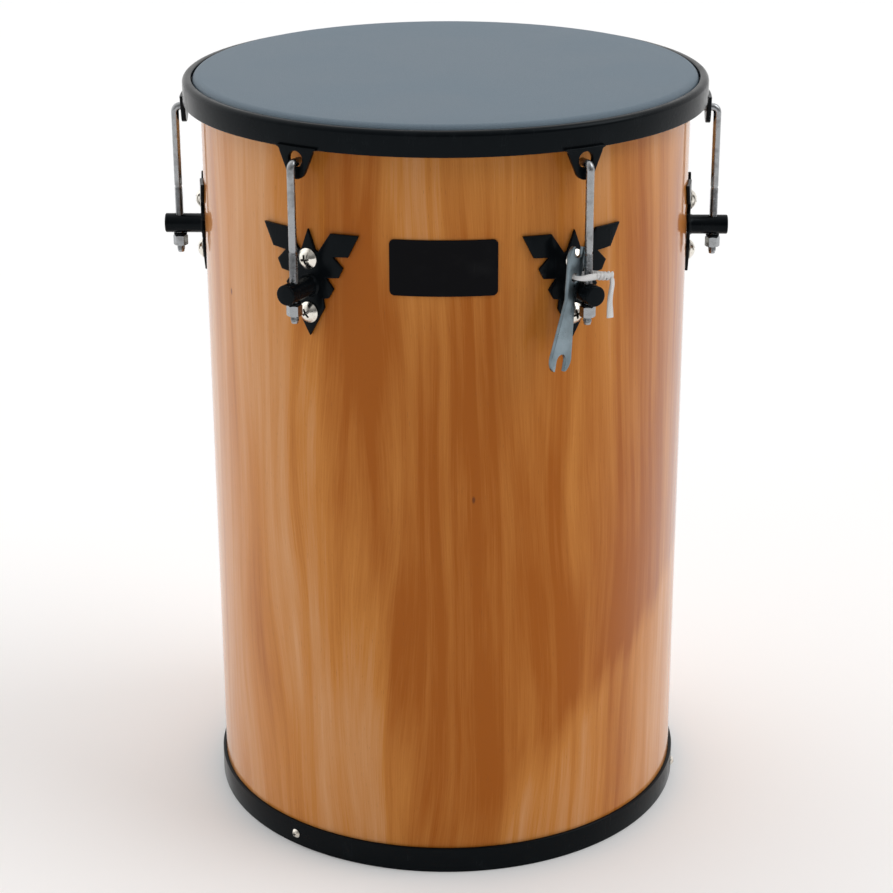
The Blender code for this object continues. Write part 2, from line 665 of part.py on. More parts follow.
# Cord: its tail, then behind the rod, through the key from behind and back across the
# rod's front. Millimetres in the first lug's frame: along the shell and outwards from the
# rod's axis, and up from the key's hole.
CORD_POINTS = [(12.1, 5.0, -25.5), (11.8, 5.2, -20.5), (11.5, 5.4, -15.5),
               (12.0, 5.4, -10.5), (12.9, 5.2, -6.0), (12.9, 4.3, -2.6), (11.2, 2.2, -0.6),
               (7.8, -0.6, -0.3), (4.4, -3.6, -0.4), (0.0, -4.6, -0.4), (-4.8, -5.6, -0.3),
               (-8.6, -6.2, -0.2), (-10.2, -4.0, 0.0), (-9.2, -1.1, 0.0), (-8.3, 1.5, 0.0),
               (-6.6, 4.0, 0.2), (-3.6, 5.0, 0.3), (0.0, 4.8, 0.3), (4.5, 5.3, 0.4),
               (8.6, 6.8, 0.6), (11.2, 7.6, 0.8)]


def make_cord():
    hole_level = stations[0] @ Matrix.Translation((0, -rod_distance, key_hole_height))
    points = [hole_level @ Vector((along * MM, -outwards * MM, up * MM))
              for along, outwards, up in CORD_POINTS]
    route = smooth_route(points, 2)
    curve = bpy.data.curves.new("key_cord", 'CURVE')
    curve.dimensions = '3D'
    curve.bevel_depth = CORD_RADIUS
    curve.bevel_resolution = 2
    curve.use_fill_caps = True
    spline = curve.splines.new('POLY')
    spline.points.add(len(route) - 1)
    for point, place in zip(spline.points, route):
        point.co = (*place, 1)
    curve.materials.append(cotton)
    add_object("key_cord", curve)


finish_turned(make_shell(), wood)
finish_turned(make_bottom_ring(), black_paint)
make_ring_screws()
make_head()
make_flesh_hoop()
make_counterhoop()
make_lugs()
make_lug_screws()
make_badge()
make_key()
make_cord()
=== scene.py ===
from math import acos, asin, atan2, copysign, cos, degrees, hypot, pi, radians, sin, sqrt, tan

import bmesh
import bpy
from mathutils import Matrix, Vector


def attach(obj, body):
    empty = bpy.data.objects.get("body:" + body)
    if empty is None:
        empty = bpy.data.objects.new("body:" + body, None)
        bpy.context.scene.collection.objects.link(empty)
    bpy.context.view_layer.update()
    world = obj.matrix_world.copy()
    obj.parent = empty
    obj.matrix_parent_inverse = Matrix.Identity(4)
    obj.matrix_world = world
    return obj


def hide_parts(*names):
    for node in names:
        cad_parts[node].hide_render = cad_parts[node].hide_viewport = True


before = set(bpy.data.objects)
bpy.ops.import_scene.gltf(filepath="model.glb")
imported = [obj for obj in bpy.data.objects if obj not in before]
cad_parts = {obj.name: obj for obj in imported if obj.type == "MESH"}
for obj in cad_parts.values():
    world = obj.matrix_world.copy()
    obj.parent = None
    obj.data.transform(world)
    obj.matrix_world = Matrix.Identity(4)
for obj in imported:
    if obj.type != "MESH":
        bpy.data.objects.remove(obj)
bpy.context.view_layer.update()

MM = 0.001

# ------------------------------------------------------------
# Camera. It stands a little to the right of the drum's front and looks down on the head
# through a long lens. Blender's picture is as wide as the photograph.
CAMERA_PLACE = (0.0292, -1.3945, 0.7665)
CAMERA_PITCH = 0.3697
CAMERA_TURN = radians(1.2)
CAMERA_ROLL = -0.0028
FOCAL_PIXELS = 2300
PICTURE_PIXELS = 893

camera_data = bpy.data.cameras.new("camera")
camera_data.sensor_width = 36
camera_data.lens = camera_data.sensor_width * FOCAL_PIXELS / PICTURE_PIXELS
camera = bpy.data.objects.new("camera", camera_data)
camera.matrix_world = (Matrix.Translation(CAMERA_PLACE) @ Matrix.Rotation(CAMERA_TURN, 4, 'Z')
                       @ Matrix.Rotation(pi / 2 - CAMERA_PITCH, 4, 'X')
                       @ Matrix.Rotation(CAMERA_ROLL, 4, 'Z'))
bpy.context.scene.collection.objects.link(camera)
bpy.context.scene.camera = camera

# ------------------------------------------------------------
# Key cord. A white cotton tape runs from its knot across the front of the first rod, through
# the tuning key's hole and back behind the rod; its cut end hangs down. The knot is the tape's
# other end, wound round the loop.
ROD_DISTANCE = 167 * MM
FIRST_LUG_TURN = radians(30)
LUG_COUNT = 6
KEY_HOLE_HEIGHT = 386.3 * MM
CORD_SIDES = 16
CORD_STEPS = 6
CORD_SQUARENESS = 0.8
# Places are in millimetres along the shell, outwards from the rod's axis and up from the
# key's hole. The reach is how far the wound strand lies outwards and upwards of its middle.
WRAP_START, WRAP_END = (2.6, 4.9, 0.3), (12.6, 6.4, -0.2)
WRAP_TURNS = 4.5
WRAP_STEPS = 120
WRAP_REACH = (1.15, 1.75)
WRAP_SWELL = 0.35
WRAP_STRAND = 1.5 * MM
# Each point: its place, the tape's width and thickness, and the way the width points.
CORD_ROUTE = [
    ((11.2, 7.6, 0.8), (2.6, 2.0), (0, 0, 1)), ((8.6, 6.8, 0.6), (3.0, 2.0), (0, 0, 1)),
    ((4.5, 5.3, 0.4), (3.7, 2.0), (0, 0, 1)), ((0.0, 4.8, 0.3), (4.0, 2.0), (0, 0, 1)),
    ((-3.6, 5.0, 0.3), (3.9, 2.0), (0, 0, 1)), ((-6.6, 4.0, 0.2), (3.0, 2.0), (0, 0, 1)),
    ((-8.3, 1.5, 0.0), (2.5, 2.1), (0, 0, 1)), ((-9.2, -1.1, 0.0), (2.4, 2.1), (0, 0, 1)),
    ((-10.2, -4.0, 0.0), (2.5, 2.0), (0, 0, 1)), ((-8.6, -6.2, -0.2), (2.8, 1.9), (0, 0, 1)),
    ((-4.8, -5.6, -0.3), (3.2, 1.8), (0, 0, 1)), ((0.0, -4.6, -0.4), (3.3, 1.8), (0, 0, 1)),
    ((4.4, -3.6, -0.4), (3.2, 1.9), (0, 0, 1)), ((7.8, -0.6, -0.3), (3.0, 1.9), (0, 0, 1)),
    ((11.2, 2.2, -0.6), (2.6, 2.0), (0.2, 0, 1)), ((12.9, 4.3, -2.6), (2.7, 2.0), (1, 0, 0.4)),
    ((12.9, 5.2, -6.0), (2.7, 1.9), (1, 0.1, 0)), ((12.0, 5.4, -10.5), (2.9, 1.7), (1, 0.3, 0)),
    ((11.5, 5.4, -15.5), (3.1, 1.6), (1, 0.5, 0)), ((11.8, 5.2, -20.5), (3.6, 1.5), (1, 0.4, 0)),
    ((12.1, 5.0, -25.5), (4.2, 1.5), (1, 0.2, 0))]

first_lug = Matrix.Rotation(FIRST_LUG_TURN, 4, 'Z')


def by_first_rod(along, outwards, up):
    return first_lug @ Vector((along * MM, -ROD_DISTANCE - outwards * MM,
                               KEY_HOLE_HEIGHT + up * MM))


def smooth_route(points, steps):
    """Points of a smooth curve through a route's own points."""
    ends = [points[0] * 2 - points[1]] + points + [points[-1] * 2 - points[-2]]
    route = []
    for a, b, c, d in zip(ends, ends[1:], ends[2:], ends[3:]):
        for i in range(steps):
            t = i / steps
            route.append(0.5 * (2 * b + (c - a) * t + (2 * a - 5 * b + 4 * c - d) * t * t
                                + (3 * b - a - 3 * c + d) * t * t * t))
    route.append(points[-1])
    return route


def filled_from(work, mesh, sharp=None):
    """The mesh filled from bmesh work; edges beyond this angle in degrees stay crisp."""
    work.to_mesh(mesh)
    work.free()
    if sharp:
        mesh.shade_smooth()
        mesh.set_sharp_from_angle(angle=radians(sharp))
    return mesh


def strand_mesh(name, route, sizes, widths):
    """A tape along a route; its UV map runs in metres along it and once round it."""
    work = bmesh.new()
    uv = work.loops.layers.uv.new("along_strand")
    count = len(route)
    rings, reach = [], [0.0]
    for i, place in enumerate(route):
        after = route[min(i + 1, count - 1)]
        before = route[max(i - 1, 0)]
        along = (after - before).normalized()
        across = (widths[i] - along * widths[i].dot(along)).normalized()
        out = along.cross(across)
        ring = []
        for k in range(CORD_SIDES):
            turn = 2 * pi * k / CORD_SIDES
            x = copysign(abs(cos(turn)) ** CORD_SQUARENESS, cos(turn)) * sizes[i][0] / 2
            y = copysign(abs(sin(turn)) ** CORD_SQUARENESS, sin(turn)) * sizes[i][1] / 2
            ring.append(work.verts.new(place + across * x + out * y))
        rings.append(ring)
        reach.append(reach[-1] + (after - place).length)
    for i in range(count - 1):
        for k in range(CORD_SIDES):
            n = (k + 1) % CORD_SIDES
            face = work.faces.new((rings[i][k], rings[i][n], rings[i + 1][n], rings[i + 1][k]))
            spots = ((reach[i], k), (reach[i], k + 1), (reach[i + 1], k + 1), (reach[i + 1], k))
            for loop, (u, v) in zip(face.loops, spots):
                loop[uv].uv = (u, v / CORD_SIDES)
    work.faces.new(reversed(rings[0]))
    work.faces.new(rings[-1])
    return filled_from(work, bpy.data.meshes.new(name), 60)


def node(tree, kind, inputs=None, **settings):
    """A node of a tree; each input is a plain value or another node's socket."""
    made = tree.nodes.new(kind)
    for key, value in settings.items():
        setattr(made, key, value)
    for key, value in (inputs or {}).items():
        if isinstance(value, bpy.types.NodeSocket):
            tree.links.new(value, made.inputs[key])
        else:
            made.inputs[key].default_value = value
    return made


def maths(tree, operation, *values, clamp=False):
    made = node(tree, 'ShaderNodeMath', dict(enumerate(values)), operation=operation)
    made.use_clamp = clamp
    return made.outputs[0]


def noise(tree, place, scale, detail=2.0, rough=0.5):
    return node(tree, 'ShaderNodeTexNoise', {'Vector': place, 'Scale': scale, 'Detail': detail,
                                             'Roughness': rough}).outputs[0]


def stretched(tree, place, x, y, z, shift=(0, 0, 0)):
    """A place with each of its directions scaled, for a pattern longer one way."""
    return node(tree, 'ShaderNodeMapping', {'Vector': place, 'Scale': (x, y, z),
                                            'Location': shift}).outputs[0]


def steps_of(tree, value, low, high, out_low=0.0, out_high=1.0):
    """A value stretched from one range to another, held at the ends."""
    return node(tree, 'ShaderNodeMapRange',
                {'Value': value, 'From Min': low, 'From Max': high, 'To Min': out_low,
                 'To Max': out_high}, interpolation_type='SMOOTHSTEP').outputs[0]


def mixed(tree, share, one, other, mode='MIX'):
    made = node(tree, 'ShaderNodeMix', {0: share, 6: one, 7: other}, data_type='RGBA')
    made.blend_type = mode
    return made.outputs[2]


def bumped(tree, height, distance, strength=1.0):
    return node(tree, 'ShaderNodeBump', {'Height': height, 'Distance': distance,
                                         'Strength': strength}).outputs[0]


def finish_of(name, constants, linked):
    """A material; linked(tree) gives the sockets that change over its surface."""
    made = bpy.data.materials.new(name)
    made.use_nodes = True
    tree = made.node_tree
    shader = tree.nodes["Principled BSDF"]
    for key, value in constants.items():
        shader.inputs[key].default_value = value
    for key, socket in linked(tree).items():
        tree.links.new(socket, shader.inputs[key])
    return made


def object_place(tree):
    return node(tree, 'ShaderNodeTexCoord').outputs['Object']


def dress(name, mesh, look, body, *nodes, slot):
    """The finished piece from its mesh: it rides on a body and stands for CAD nodes."""
    mesh.materials.clear()
    mesh.materials.append(look)
    piece = bpy.data.objects.new(name, mesh)
    bpy.context.scene.collection.objects.link(piece)
    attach(piece, body)
    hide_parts(*nodes)
    return piece


YARN_PITCH = 1.1 * MM


def cotton_parts(tree):
    """Braided yarn: two sets of slanting strands over each other, with painted shade in the
    hollows between them.
    """
    uv = node(tree, 'ShaderNodeUVMap', uv_map="along_strand").outputs[0]
    split = node(tree, 'ShaderNodeSeparateXYZ', {0: uv})
    turns = maths(tree, 'MULTIPLY', split.outputs[0], 2 * pi / YARN_PITCH)
    round_it = maths(tree, 'MULTIPLY', split.outputs[1], 8 * 2 * pi)
    left = maths(tree, 'SINE', maths(tree, 'ADD', turns, round_it))
    right = maths(tree, 'SINE', maths(tree, 'SUBTRACT', turns, round_it))
    braid = maths(tree, 'MAXIMUM', left, right)
    fuzz = noise(tree, object_place(tree), 2600, 3)
    height = maths(tree, 'ADD', braid, maths(tree, 'MULTIPLY', fuzz, 1.6))
    # painted shade: the tape is darker down in the braid's hollows
    hollow = steps_of(tree, braid, -0.2, 0.9, 0.3, 0)
    colour = mixed(tree, hollow, (0.98, 0.97, 0.96, 1), (0.74, 0.70, 0.66, 1))
    return {'Base Color': colour, 'Normal': bumped(tree, height, 0.16 * MM)}


cotton = finish_of("cotton_tape", {'Roughness': 0.9, 'Sheen Weight': 0.5}, cotton_parts)

cord_places = smooth_route([by_first_rod(*place) for place, _, _ in CORD_ROUTE], CORD_STEPS)
cord_sizes = smooth_route([Vector(size) * MM for _, size, _ in CORD_ROUTE], CORD_STEPS)
cord_widths = smooth_route([first_lug.to_3x3() @ Vector((x, -y, z)) for _, _, (x, y, z)
                            in CORD_ROUTE], CORD_STEPS)
cord_mesh = strand_mesh("key_cord_tape", cord_places, cord_sizes, cord_widths)
key_cord = dress("key_cord_tape", cord_mesh, cotton, "drum", "key_cord", slot="cotton")

wrap_places, wrap_widths = [], []
for i in range(WRAP_STEPS + 1):
    share = i / WRAP_STEPS
    turn = 2 * pi * WRAP_TURNS * share
    middle = Vector(WRAP_START).lerp(Vector(WRAP_END), share)
    swell = 1 + WRAP_SWELL * sin(pi * share) * share
    away = Vector((0, WRAP_REACH[0] * cos(turn), WRAP_REACH[1] * sin(turn))) * swell
    wrap_places.append(by_first_rod(*(middle + away)))
    wrap_widths.append(first_lug.to_3x3() @ Vector((1, 0, 0)))
wrap_sizes = [(WRAP_STRAND, 0.8 * WRAP_STRAND)] * len(wrap_places)
knot_mesh = strand_mesh("key_cord_knot", wrap_places, wrap_sizes, wrap_widths)
knot = dress("key_cord_knot", knot_mesh, cotton, "drum", slot="cotton")

# ------------------------------------------------------------
# Shell. A straight tube of thin plies, open below, with a light orange-brown veneer whose
# grain stands upright, under glossy lacquer. The top edge is cut at 45 degrees inside and
# rounded outside; the inner face is bare wood.
SHELL_RADIUS = 150 * MM
SHELL_INNER = 143 * MM
SHELL_TOP = 473.2 * MM
SHELL_BOTTOM = 1.8 * MM
BEARING_EDGE_CUT = 4.5 * MM
BEARING_EDGE_ROUND = 1.5 * MM
DRUM_STEPS = 288
WOOD_PALE = (0.70, 0.36, 0.165, 1)
WOOD_MIDDLE = (0.59, 0.225, 0.045, 1)
WOOD_DARK = (0.40, 0.108, 0.009, 1)
WOOD_RAW = (0.52, 0.36, 0.21, 1)
BARE_WOOD_WITHIN = (147.6 * MM, 148.4 * MM)
HEARTWOOD_END = 270 * MM
PIN_KNOTS = ((19 * MM, 250 * MM, 1.4 * MM), (-151 * MM, 356 * MM, 1.3 * MM))


def arc(centre, radius, start, end, steps):
    """Points of an arc in a profile or an outline, angles in degrees."""
    angles = [radians(start + (end - start) * i / steps) for i in range(steps + 1)]
    return [(centre[0] + radius * cos(a), centre[1] + radius * sin(a)) for a in angles]


def turned_mesh(name, profile, steps, closed=True, sharp=30):
    """A turned body; its profile runs down the outer side and back up inside."""
    work = bmesh.new()
    rings = []
    for r, z in profile:
        turns = [2 * pi * k / steps for k in range(steps)]
        rings.append([work.verts.new((r * cos(t), r * sin(t), z)) for t in turns])
    last = len(profile) if closed else len(profile) - 1
    for i in range(last):
        upper, lower = rings[i], rings[(i + 1) % len(rings)]
        for k in range(steps):
            n = (k + 1) % steps
            work.faces.new((upper[k], lower[k], lower[n], upper[n]))
    bmesh.ops.remove_doubles(work, verts=work.verts, dist=0.001 * MM)
    return filled_from(work, bpy.data.meshes.new(name), sharp)


def length_of(tree, a, b):
    return maths(tree, 'SQRT', maths(tree, 'ADD', maths(tree, 'POWER', a, 2.0),
                                     maths(tree, 'POWER', b, 2.0)))


def veneer_parts(tree):
    """Upright veneer grain, laid round the shell with its joint at the back."""
    split = node(tree, 'ShaderNodeSeparateXYZ', {0: object_place(tree)})
    x, y, z = split.outputs
    turn = maths(tree, 'ARCTAN2', x, maths(tree, 'MULTIPLY', y, -1))
    across = maths(tree, 'MULTIPLY', turn, SHELL_RADIUS)
    flat = node(tree, 'ShaderNodeCombineXYZ', {0: across, 1: z}).outputs[0]
    drift = noise(tree, stretched(tree, flat, 7, 1.6, 1), 1, 2)
    drift = maths(tree, 'MULTIPLY', maths(tree, 'SUBTRACT', drift, 0.5), 0.09)
    drawn = maths(tree, 'ADD', across, drift)
    grain_place = node(tree, 'ShaderNodeCombineXYZ', {0: drawn, 1: z}).outputs[0]
    fibre = noise(tree, stretched(tree, grain_place, 1500, 26, 1), 1, 4, 0.6)
    band = noise(tree, stretched(tree, grain_place, 75, 2.4, 1), 1, 4, 0.55)
    broad = noise(tree, stretched(tree, grain_place, 17, 2.6, 1, (3.1, 0.4, 0)), 1, 3)
    rings = maths(tree, 'SINE', maths(tree, 'MULTIPLY', drawn, 520))
    lines = steps_of(tree, rings, 0.2, 1.0)
    # the darker heartwood: a long flame, narrow at its foot, that spreads to the right; the
    # paler wood left of it and low on its right is partly real figure, partly painted reflection
    # of the lacquer
    ragged = noise(tree, stretched(tree, grain_place, 55, 5, 1, (0.7, 2.2, 0)), 1, 3, 0.6)
    ragged = maths(tree, 'MULTIPLY_ADD', ragged, 0.06, -0.045)
    left_edge = maths(tree, 'MULTIPLY_ADD', z, 0.17, maths(tree, 'ADD', across, 0.012))
    spread = maths(tree, 'MULTIPLY_ADD', z, 4.5, 0.3)
    right_edge = maths(tree, 'MULTIPLY_ADD', z, spread, maths(tree, 'SUBTRACT', 0.01, across))
    within = maths(tree, 'MINIMUM', left_edge, right_edge)
    within = maths(tree, 'MINIMUM', within, maths(tree, 'SUBTRACT', HEARTWOOD_END, across))
    within = maths(tree, 'SUBTRACT', within, ragged)
    # real heartwood figure, and partly painted reflection where the mask leaves the wood pale
    heartwood_and_painted_reflection = steps_of(tree, within, -0.012, 0.03)
    heartwood_and_painted_reflection = maths(tree, 'MULTIPLY', heartwood_and_painted_reflection, steps_of(tree, z, 0.34, 0.45, 1, 0.3))
    pores = noise(tree, stretched(tree, flat, 2100, 150, 1), 1, 2)
    pores = steps_of(tree, pores, 0.66, 0.74)
    tone = maths(tree, 'MULTIPLY_ADD', broad, 1.5, -0.63)
    tone = maths(tree, 'MULTIPLY_ADD', band, 0.95, maths(tree, 'SUBTRACT', tone, 0.33))
    tone = maths(tree, 'MULTIPLY_ADD', heartwood_and_painted_reflection, 0.33, tone)
    tone = maths(tree, 'MULTIPLY_ADD', fibre, 0.4, maths(tree, 'SUBTRACT', tone, 0.08))
    tone = maths(tree, 'MULTIPLY_ADD', lines, 0.07, tone, clamp=True)
    colour = node(tree, 'ShaderNodeValToRGB', {0: tone})
    stops = colour.color_ramp.elements
    stops[0].position, stops[0].color = 0.05, WOOD_PALE
    stops[1].position, stops[1].color = 0.85, WOOD_DARK
    stops.new(0.45).color = WOOD_MIDDLE
    speck = maths(tree, 'MULTIPLY', pores, 0.35)
    colour = mixed(tree, speck, colour.outputs[0], (0.16, 0.06, 0.02, 1))
    # two pin knots in the veneer
    for knot_across, knot_height, size in PIN_KNOTS:
        sideways = maths(tree, 'SUBTRACT', across, knot_across)
        upwards = maths(tree, 'MULTIPLY', maths(tree, 'SUBTRACT', z, knot_height), 0.45)
        mark = steps_of(tree, length_of(tree, sideways, upwards), 0.3 * size, size, 0.8, 0)
        colour = mixed(tree, mark, colour, (0.12, 0.035, 0.012, 1))
    # the inner face and the lower edge are bare, paler wood
    inside = steps_of(tree, length_of(tree, x, y), *BARE_WOOD_WITHIN, 1, 0)
    raw = mixed(tree, maths(tree, 'MULTIPLY', band, 0.6), WOOD_RAW, (0.34, 0.21, 0.11, 1))
    colour = mixed(tree, inside, colour, raw)
    pull = noise(tree, object_place(tree), 22, 2)
    height = maths(tree, 'MULTIPLY_ADD', fibre, 0.012, maths(tree, 'MULTIPLY', pull, 0.6))
    rough = maths(tree, 'MULTIPLY_ADD', inside, 0.3, maths(tree, 'MULTIPLY_ADD', band, 0.1, 0.3))
    glancing = node(tree, 'ShaderNodeLayerWeight', {'Blend': 0.5}).outputs['Facing']
    gloss = steps_of(tree, glancing, 0.15, 0.7, 0.12, 0.85)
    lacquer = maths(tree, 'MULTIPLY', maths(tree, 'SUBTRACT', 1.0, inside), gloss)
    return {'Base Color': colour, 'Roughness': rough, 'Coat Weight': lacquer,
            'Normal': bumped(tree, height, 0.35 * MM)}


veneer = finish_of("lacquered_veneer", {'Specular IOR Level': 0.05, 'Coat Roughness': 0.09,
                                        'Coat IOR': 1.55}, veneer_parts)

edge_centre = (SHELL_RADIUS - BEARING_EDGE_ROUND, SHELL_TOP - BEARING_EDGE_ROUND)
shell_profile = [(SHELL_INNER + BEARING_EDGE_CUT, SHELL_TOP)]
shell_profile += arc(edge_centre, BEARING_EDGE_ROUND, 90, 0, 6)
shell_profile += [(SHELL_RADIUS, SHELL_BOTTOM), (SHELL_INNER, SHELL_BOTTOM),
                  (SHELL_INNER, SHELL_TOP - BEARING_EDGE_CUT)]
dress("wooden_shell", turned_mesh("wooden_shell", shell_profile, DRUM_STEPS), veneer, "drum",
      "shell", slot="lacquered_wood")

# ------------------------------------------------------------
# Bottom ring. A black painted steel band round the foot of the shell, with a narrow flange
# turned in under the wood, so that the drum stands on paint and not on its veneer.
RING_INNER = SHELL_RADIUS + 0.3 * MM
RING_OUTER = RING_INNER + 2 * MM
RING_HEIGHT = 16.3 * MM
RING_FOOT_INNER = RING_INNER - 6 * MM
RING_FOOT_THICKNESS = 1.5 * MM
RING_EDGE = 0.7 * MM


def shared_group(name, inputs, outputs, build):
    """A node group with named numbers going in and out; build wires it up."""
    group = bpy.data.node_groups.new(name, 'ShaderNodeTree')
    new = group.interface.new_socket
    for label, value in inputs.items():
        new(label, in_out='INPUT', socket_type='NodeSocketFloat').default_value = value
    for label in outputs:
        new(label, in_out='OUTPUT', socket_type='NodeSocketFloat')
    start = group.nodes.new('NodeGroupInput')
    end = group.nodes.new('NodeGroupOutput')
    for label, socket in build(group, start.outputs).items():
        group.links.new(socket, end.inputs[label])
    return group


def handling_parts(tree, given):
    """Smears from hands, fine scratches and a little orange peel in paint or plating."""
    place = object_place(tree)
    smear = noise(tree, place, given['Smear Scale'], 4, 0.6)
    scratch_place = stretched(tree, place, 1, 1, 0.07)
    scratch = noise(tree, scratch_place, given['Scratch Scale'], 2)
    fine = steps_of(tree, scratch, 0.55, 0.75)
    spread = maths(tree, 'MULTIPLY', steps_of(tree, smear, 0.35, 0.7), given['Smear'])
    rough = maths(tree, 'ADD', given['Roughness'], spread)
    rough = maths(tree, 'MULTIPLY_ADD', fine, 0.05, rough)
    peel = noise(tree, place, given['Peel Scale'], 2)
    return {'Roughness': rough, 'Height': maths(tree, 'MULTIPLY_ADD', fine, 0.15, peel),
            'Dust': steps_of(tree, smear, 0.5, 0.75)}


handling = shared_group(
    "handling_marks", {"Roughness": 0.2, "Smear": 0.1, "Smear Scale": 60, "Scratch Scale": 900,
                       "Peel Scale": 700}, ("Roughness", "Height", "Dust"), handling_parts)


def marks(tree, **values):
    made = node(tree, 'ShaderNodeGroup', node_tree=handling)
    for label, value in values.items():
        made.inputs[label.replace("_", " ").title()].default_value = value
    return made.outputs


def worn(tree, wear, colour, depth):
    return {'Base Color': colour, 'Roughness': wear['Roughness'],
            'Normal': bumped(tree, wear['Height'], depth)}


def paint_parts(tree):
    """Thick black paint: a soft orange peel, smears and a trace of grey dust."""
    wear = marks(tree, roughness=0.16, smear=0.12, peel_scale=420)
    dust = maths(tree, 'MULTIPLY', wear['Dust'], 0.3)
    colour = mixed(tree, dust, (0.003, 0.004, 0.005, 1), (0.009, 0.011, 0.013, 1))
    return worn(tree, wear, colour, 0.05 * MM)


black_paint = finish_of("black_paint_gloss", {'Specular IOR Level': 0.08,
                                              'Specular Tint': (0.8, 0.92, 1, 1)}, paint_parts)

ring_profile = [(RING_INNER, RING_HEIGHT)]
ring_profile += arc((RING_OUTER - RING_EDGE, RING_HEIGHT - RING_EDGE), RING_EDGE, 90, 0, 5)
ring_profile += arc((RING_OUTER - RING_EDGE, RING_EDGE), RING_EDGE, 0, -90, 5)
ring_profile += [(RING_FOOT_INNER, 0), (RING_FOOT_INNER, RING_FOOT_THICKNESS),
                 (RING_INNER, RING_FOOT_THICKNESS)]
dress("black_bottom_ring", turned_mesh("black_bottom_ring", ring_profile, DRUM_STEPS),
      black_paint, "drum", "bottom_ring", slot="black_paint")

# ------------------------------------------------------------
# Bottom ring screws. Three small dome-headed wood screws with a cross recess hold the ring
# to the shell. One tree of nodes sets copies of a piece round the drum; later pieces that
# stand at the six lugs use it too.
RING_SCREW_COUNT = 3
RING_SCREW_TURN = radians(-38)
RING_SCREW_HEIGHT = 8 * MM
RING_SCREW_HEAD = 3 * MM
RING_SCREW_DOME = 1.8 * MM
RING_SCREW_SHANK = 1.5 * MM
RING_SCREW_LENGTH = 7.1 * MM


def round_drum_tree():
    """Copies of a piece in rows round the drum, each turned to face outwards."""
    tree = bpy.data.node_groups.new("round_the_drum", 'GeometryNodeTree')
    new = tree.interface.new_socket
    new("Piece", in_out='INPUT', socket_type='NodeSocketObject')
    new("Look", in_out='INPUT', socket_type='NodeSocketMaterial')
    for label, value in (("Places", 6), ("Rows", 1)):
        new(label, in_out='INPUT', socket_type='NodeSocketInt').default_value = value
    for label in ("First Turn", "Distance", "Height", "Row Spacing", "Tilt", "Spin"):
        new(label, in_out='INPUT', socket_type='NodeSocketFloat')
    new("Geometry", in_out='OUTPUT', socket_type='NodeSocketGeometry')
    given = tree.nodes.new('NodeGroupInput').outputs
    index = node(tree, 'GeometryNodeInputIndex').outputs[0]
    station = maths(tree, 'FLOOR', maths(tree, 'DIVIDE', index, given['Rows']))
    row = maths(tree, 'MODULO', index, given['Rows'])
    step = maths(tree, 'DIVIDE', 2 * pi, given['Places'])
    turn = maths(tree, 'MULTIPLY_ADD', station, step, given['First Turn'])
    x = maths(tree, 'MULTIPLY', maths(tree, 'SINE', turn), given['Distance'])
    y = maths(tree, 'MULTIPLY', maths(tree, 'COSINE', turn),
              maths(tree, 'MULTIPLY', given['Distance'], -1))
    middle = maths(tree, 'MULTIPLY', maths(tree, 'SUBTRACT', given['Rows'], 1), 0.5)
    z = maths(tree, 'MULTIPLY_ADD', maths(tree, 'SUBTRACT', row, middle),
              given['Row Spacing'], given['Height'])
    place = node(tree, 'ShaderNodeCombineXYZ', {0: x, 1: y, 2: z}).outputs[0]
    count = maths(tree, 'MULTIPLY', given['Places'], given['Rows'])
    points = node(tree, 'GeometryNodePoints', {'Count': count, 'Position': place}).outputs[0]
    faced = node(tree, 'ShaderNodeCombineXYZ', {0: given['Tilt'], 2: turn}).outputs[0]
    most = node(tree, 'ShaderNodeCombineXYZ', {2: given['Spin']}).outputs[0]
    spun = node(tree, 'FunctionNodeRandomValue', {0: (0, 0, 0), 1: most, 'Seed': 4},
                data_type='FLOAT_VECTOR').outputs[0]
    turned = node(tree, 'FunctionNodeRotateRotation',
                  {0: faced, 1: spun}, rotation_space='LOCAL').outputs[0]
    piece = node(tree, 'GeometryNodeObjectInfo', {'Object': given['Piece']})
    copies = node(tree, 'GeometryNodeInstanceOnPoints',
                  {'Points': points, 'Instance': piece.outputs['Geometry'],
                   'Rotation': turned}).outputs[0]
    real = node(tree, 'GeometryNodeRealizeInstances', {0: copies}).outputs[0]
    faced_look = node(tree, 'GeometryNodeSetMaterial', {0: real, 'Material': given['Look']})
    end = tree.nodes.new('NodeGroupOutput')
    tree.links.new(faced_look.outputs[0], end.inputs[0])
    return tree


round_the_drum = round_drum_tree()


def evaluated_mesh(holder, *helpers):
    """An object's mesh after its modifiers; it and its helpers are then taken away."""
    used = (*helpers, holder)
    for helper in used:
        bpy.context.scene.collection.objects.link(helper)
    bpy.context.view_layer.update()
    graph = bpy.context.evaluated_depsgraph_get()
    mesh = bpy.data.meshes.new_from_object(holder.evaluated_get(graph))
    for helper in used:
        bpy.data.objects.remove(helper, do_unlink=True)
    return mesh


def set_round_drum(name, mesh, look, places=LUG_COUNT, first_turn=FIRST_LUG_TURN, **values):
    """The mesh of a piece repeated round the drum, with the tree's inputs by name."""
    values.update(places=places, first_turn=first_turn)
    pattern = bpy.data.objects.new(name + "_pattern", mesh)
    holder = bpy.data.objects.new(name + "_copies", bpy.data.meshes.new(name + "_copies"))
    repeat = holder.modifiers.new("Repeat", 'NODES')
    repeat.node_group = round_the_drum
    named = {item.name: item.identifier for item in round_the_drum.interface.items_tree
             if item.in_out == 'INPUT'}
    repeat[named["Piece"]] = pattern
    repeat[named["Look"]] = look
    for label, value in values.items():
        repeat[named[label.replace("_", " ").title()]] = value
    made = evaluated_mesh(holder, pattern)
    made.name = name
    return made


def cut_mesh(mesh, cutter_mesh, sharp):
    """The mesh with the cutter's shape taken out of it."""
    body = bpy.data.objects.new(mesh.name, mesh)
    cutter = bpy.data.objects.new(cutter_mesh.name, cutter_mesh)
    body.modifiers.new("Cut", 'BOOLEAN').object = cutter
    made = evaluated_mesh(body, cutter)
    made.set_sharp_from_angle(angle=radians(sharp))
    return made


def numbered(name, count):
    return [f"{name}_{i + 1}" for i in range(count)]


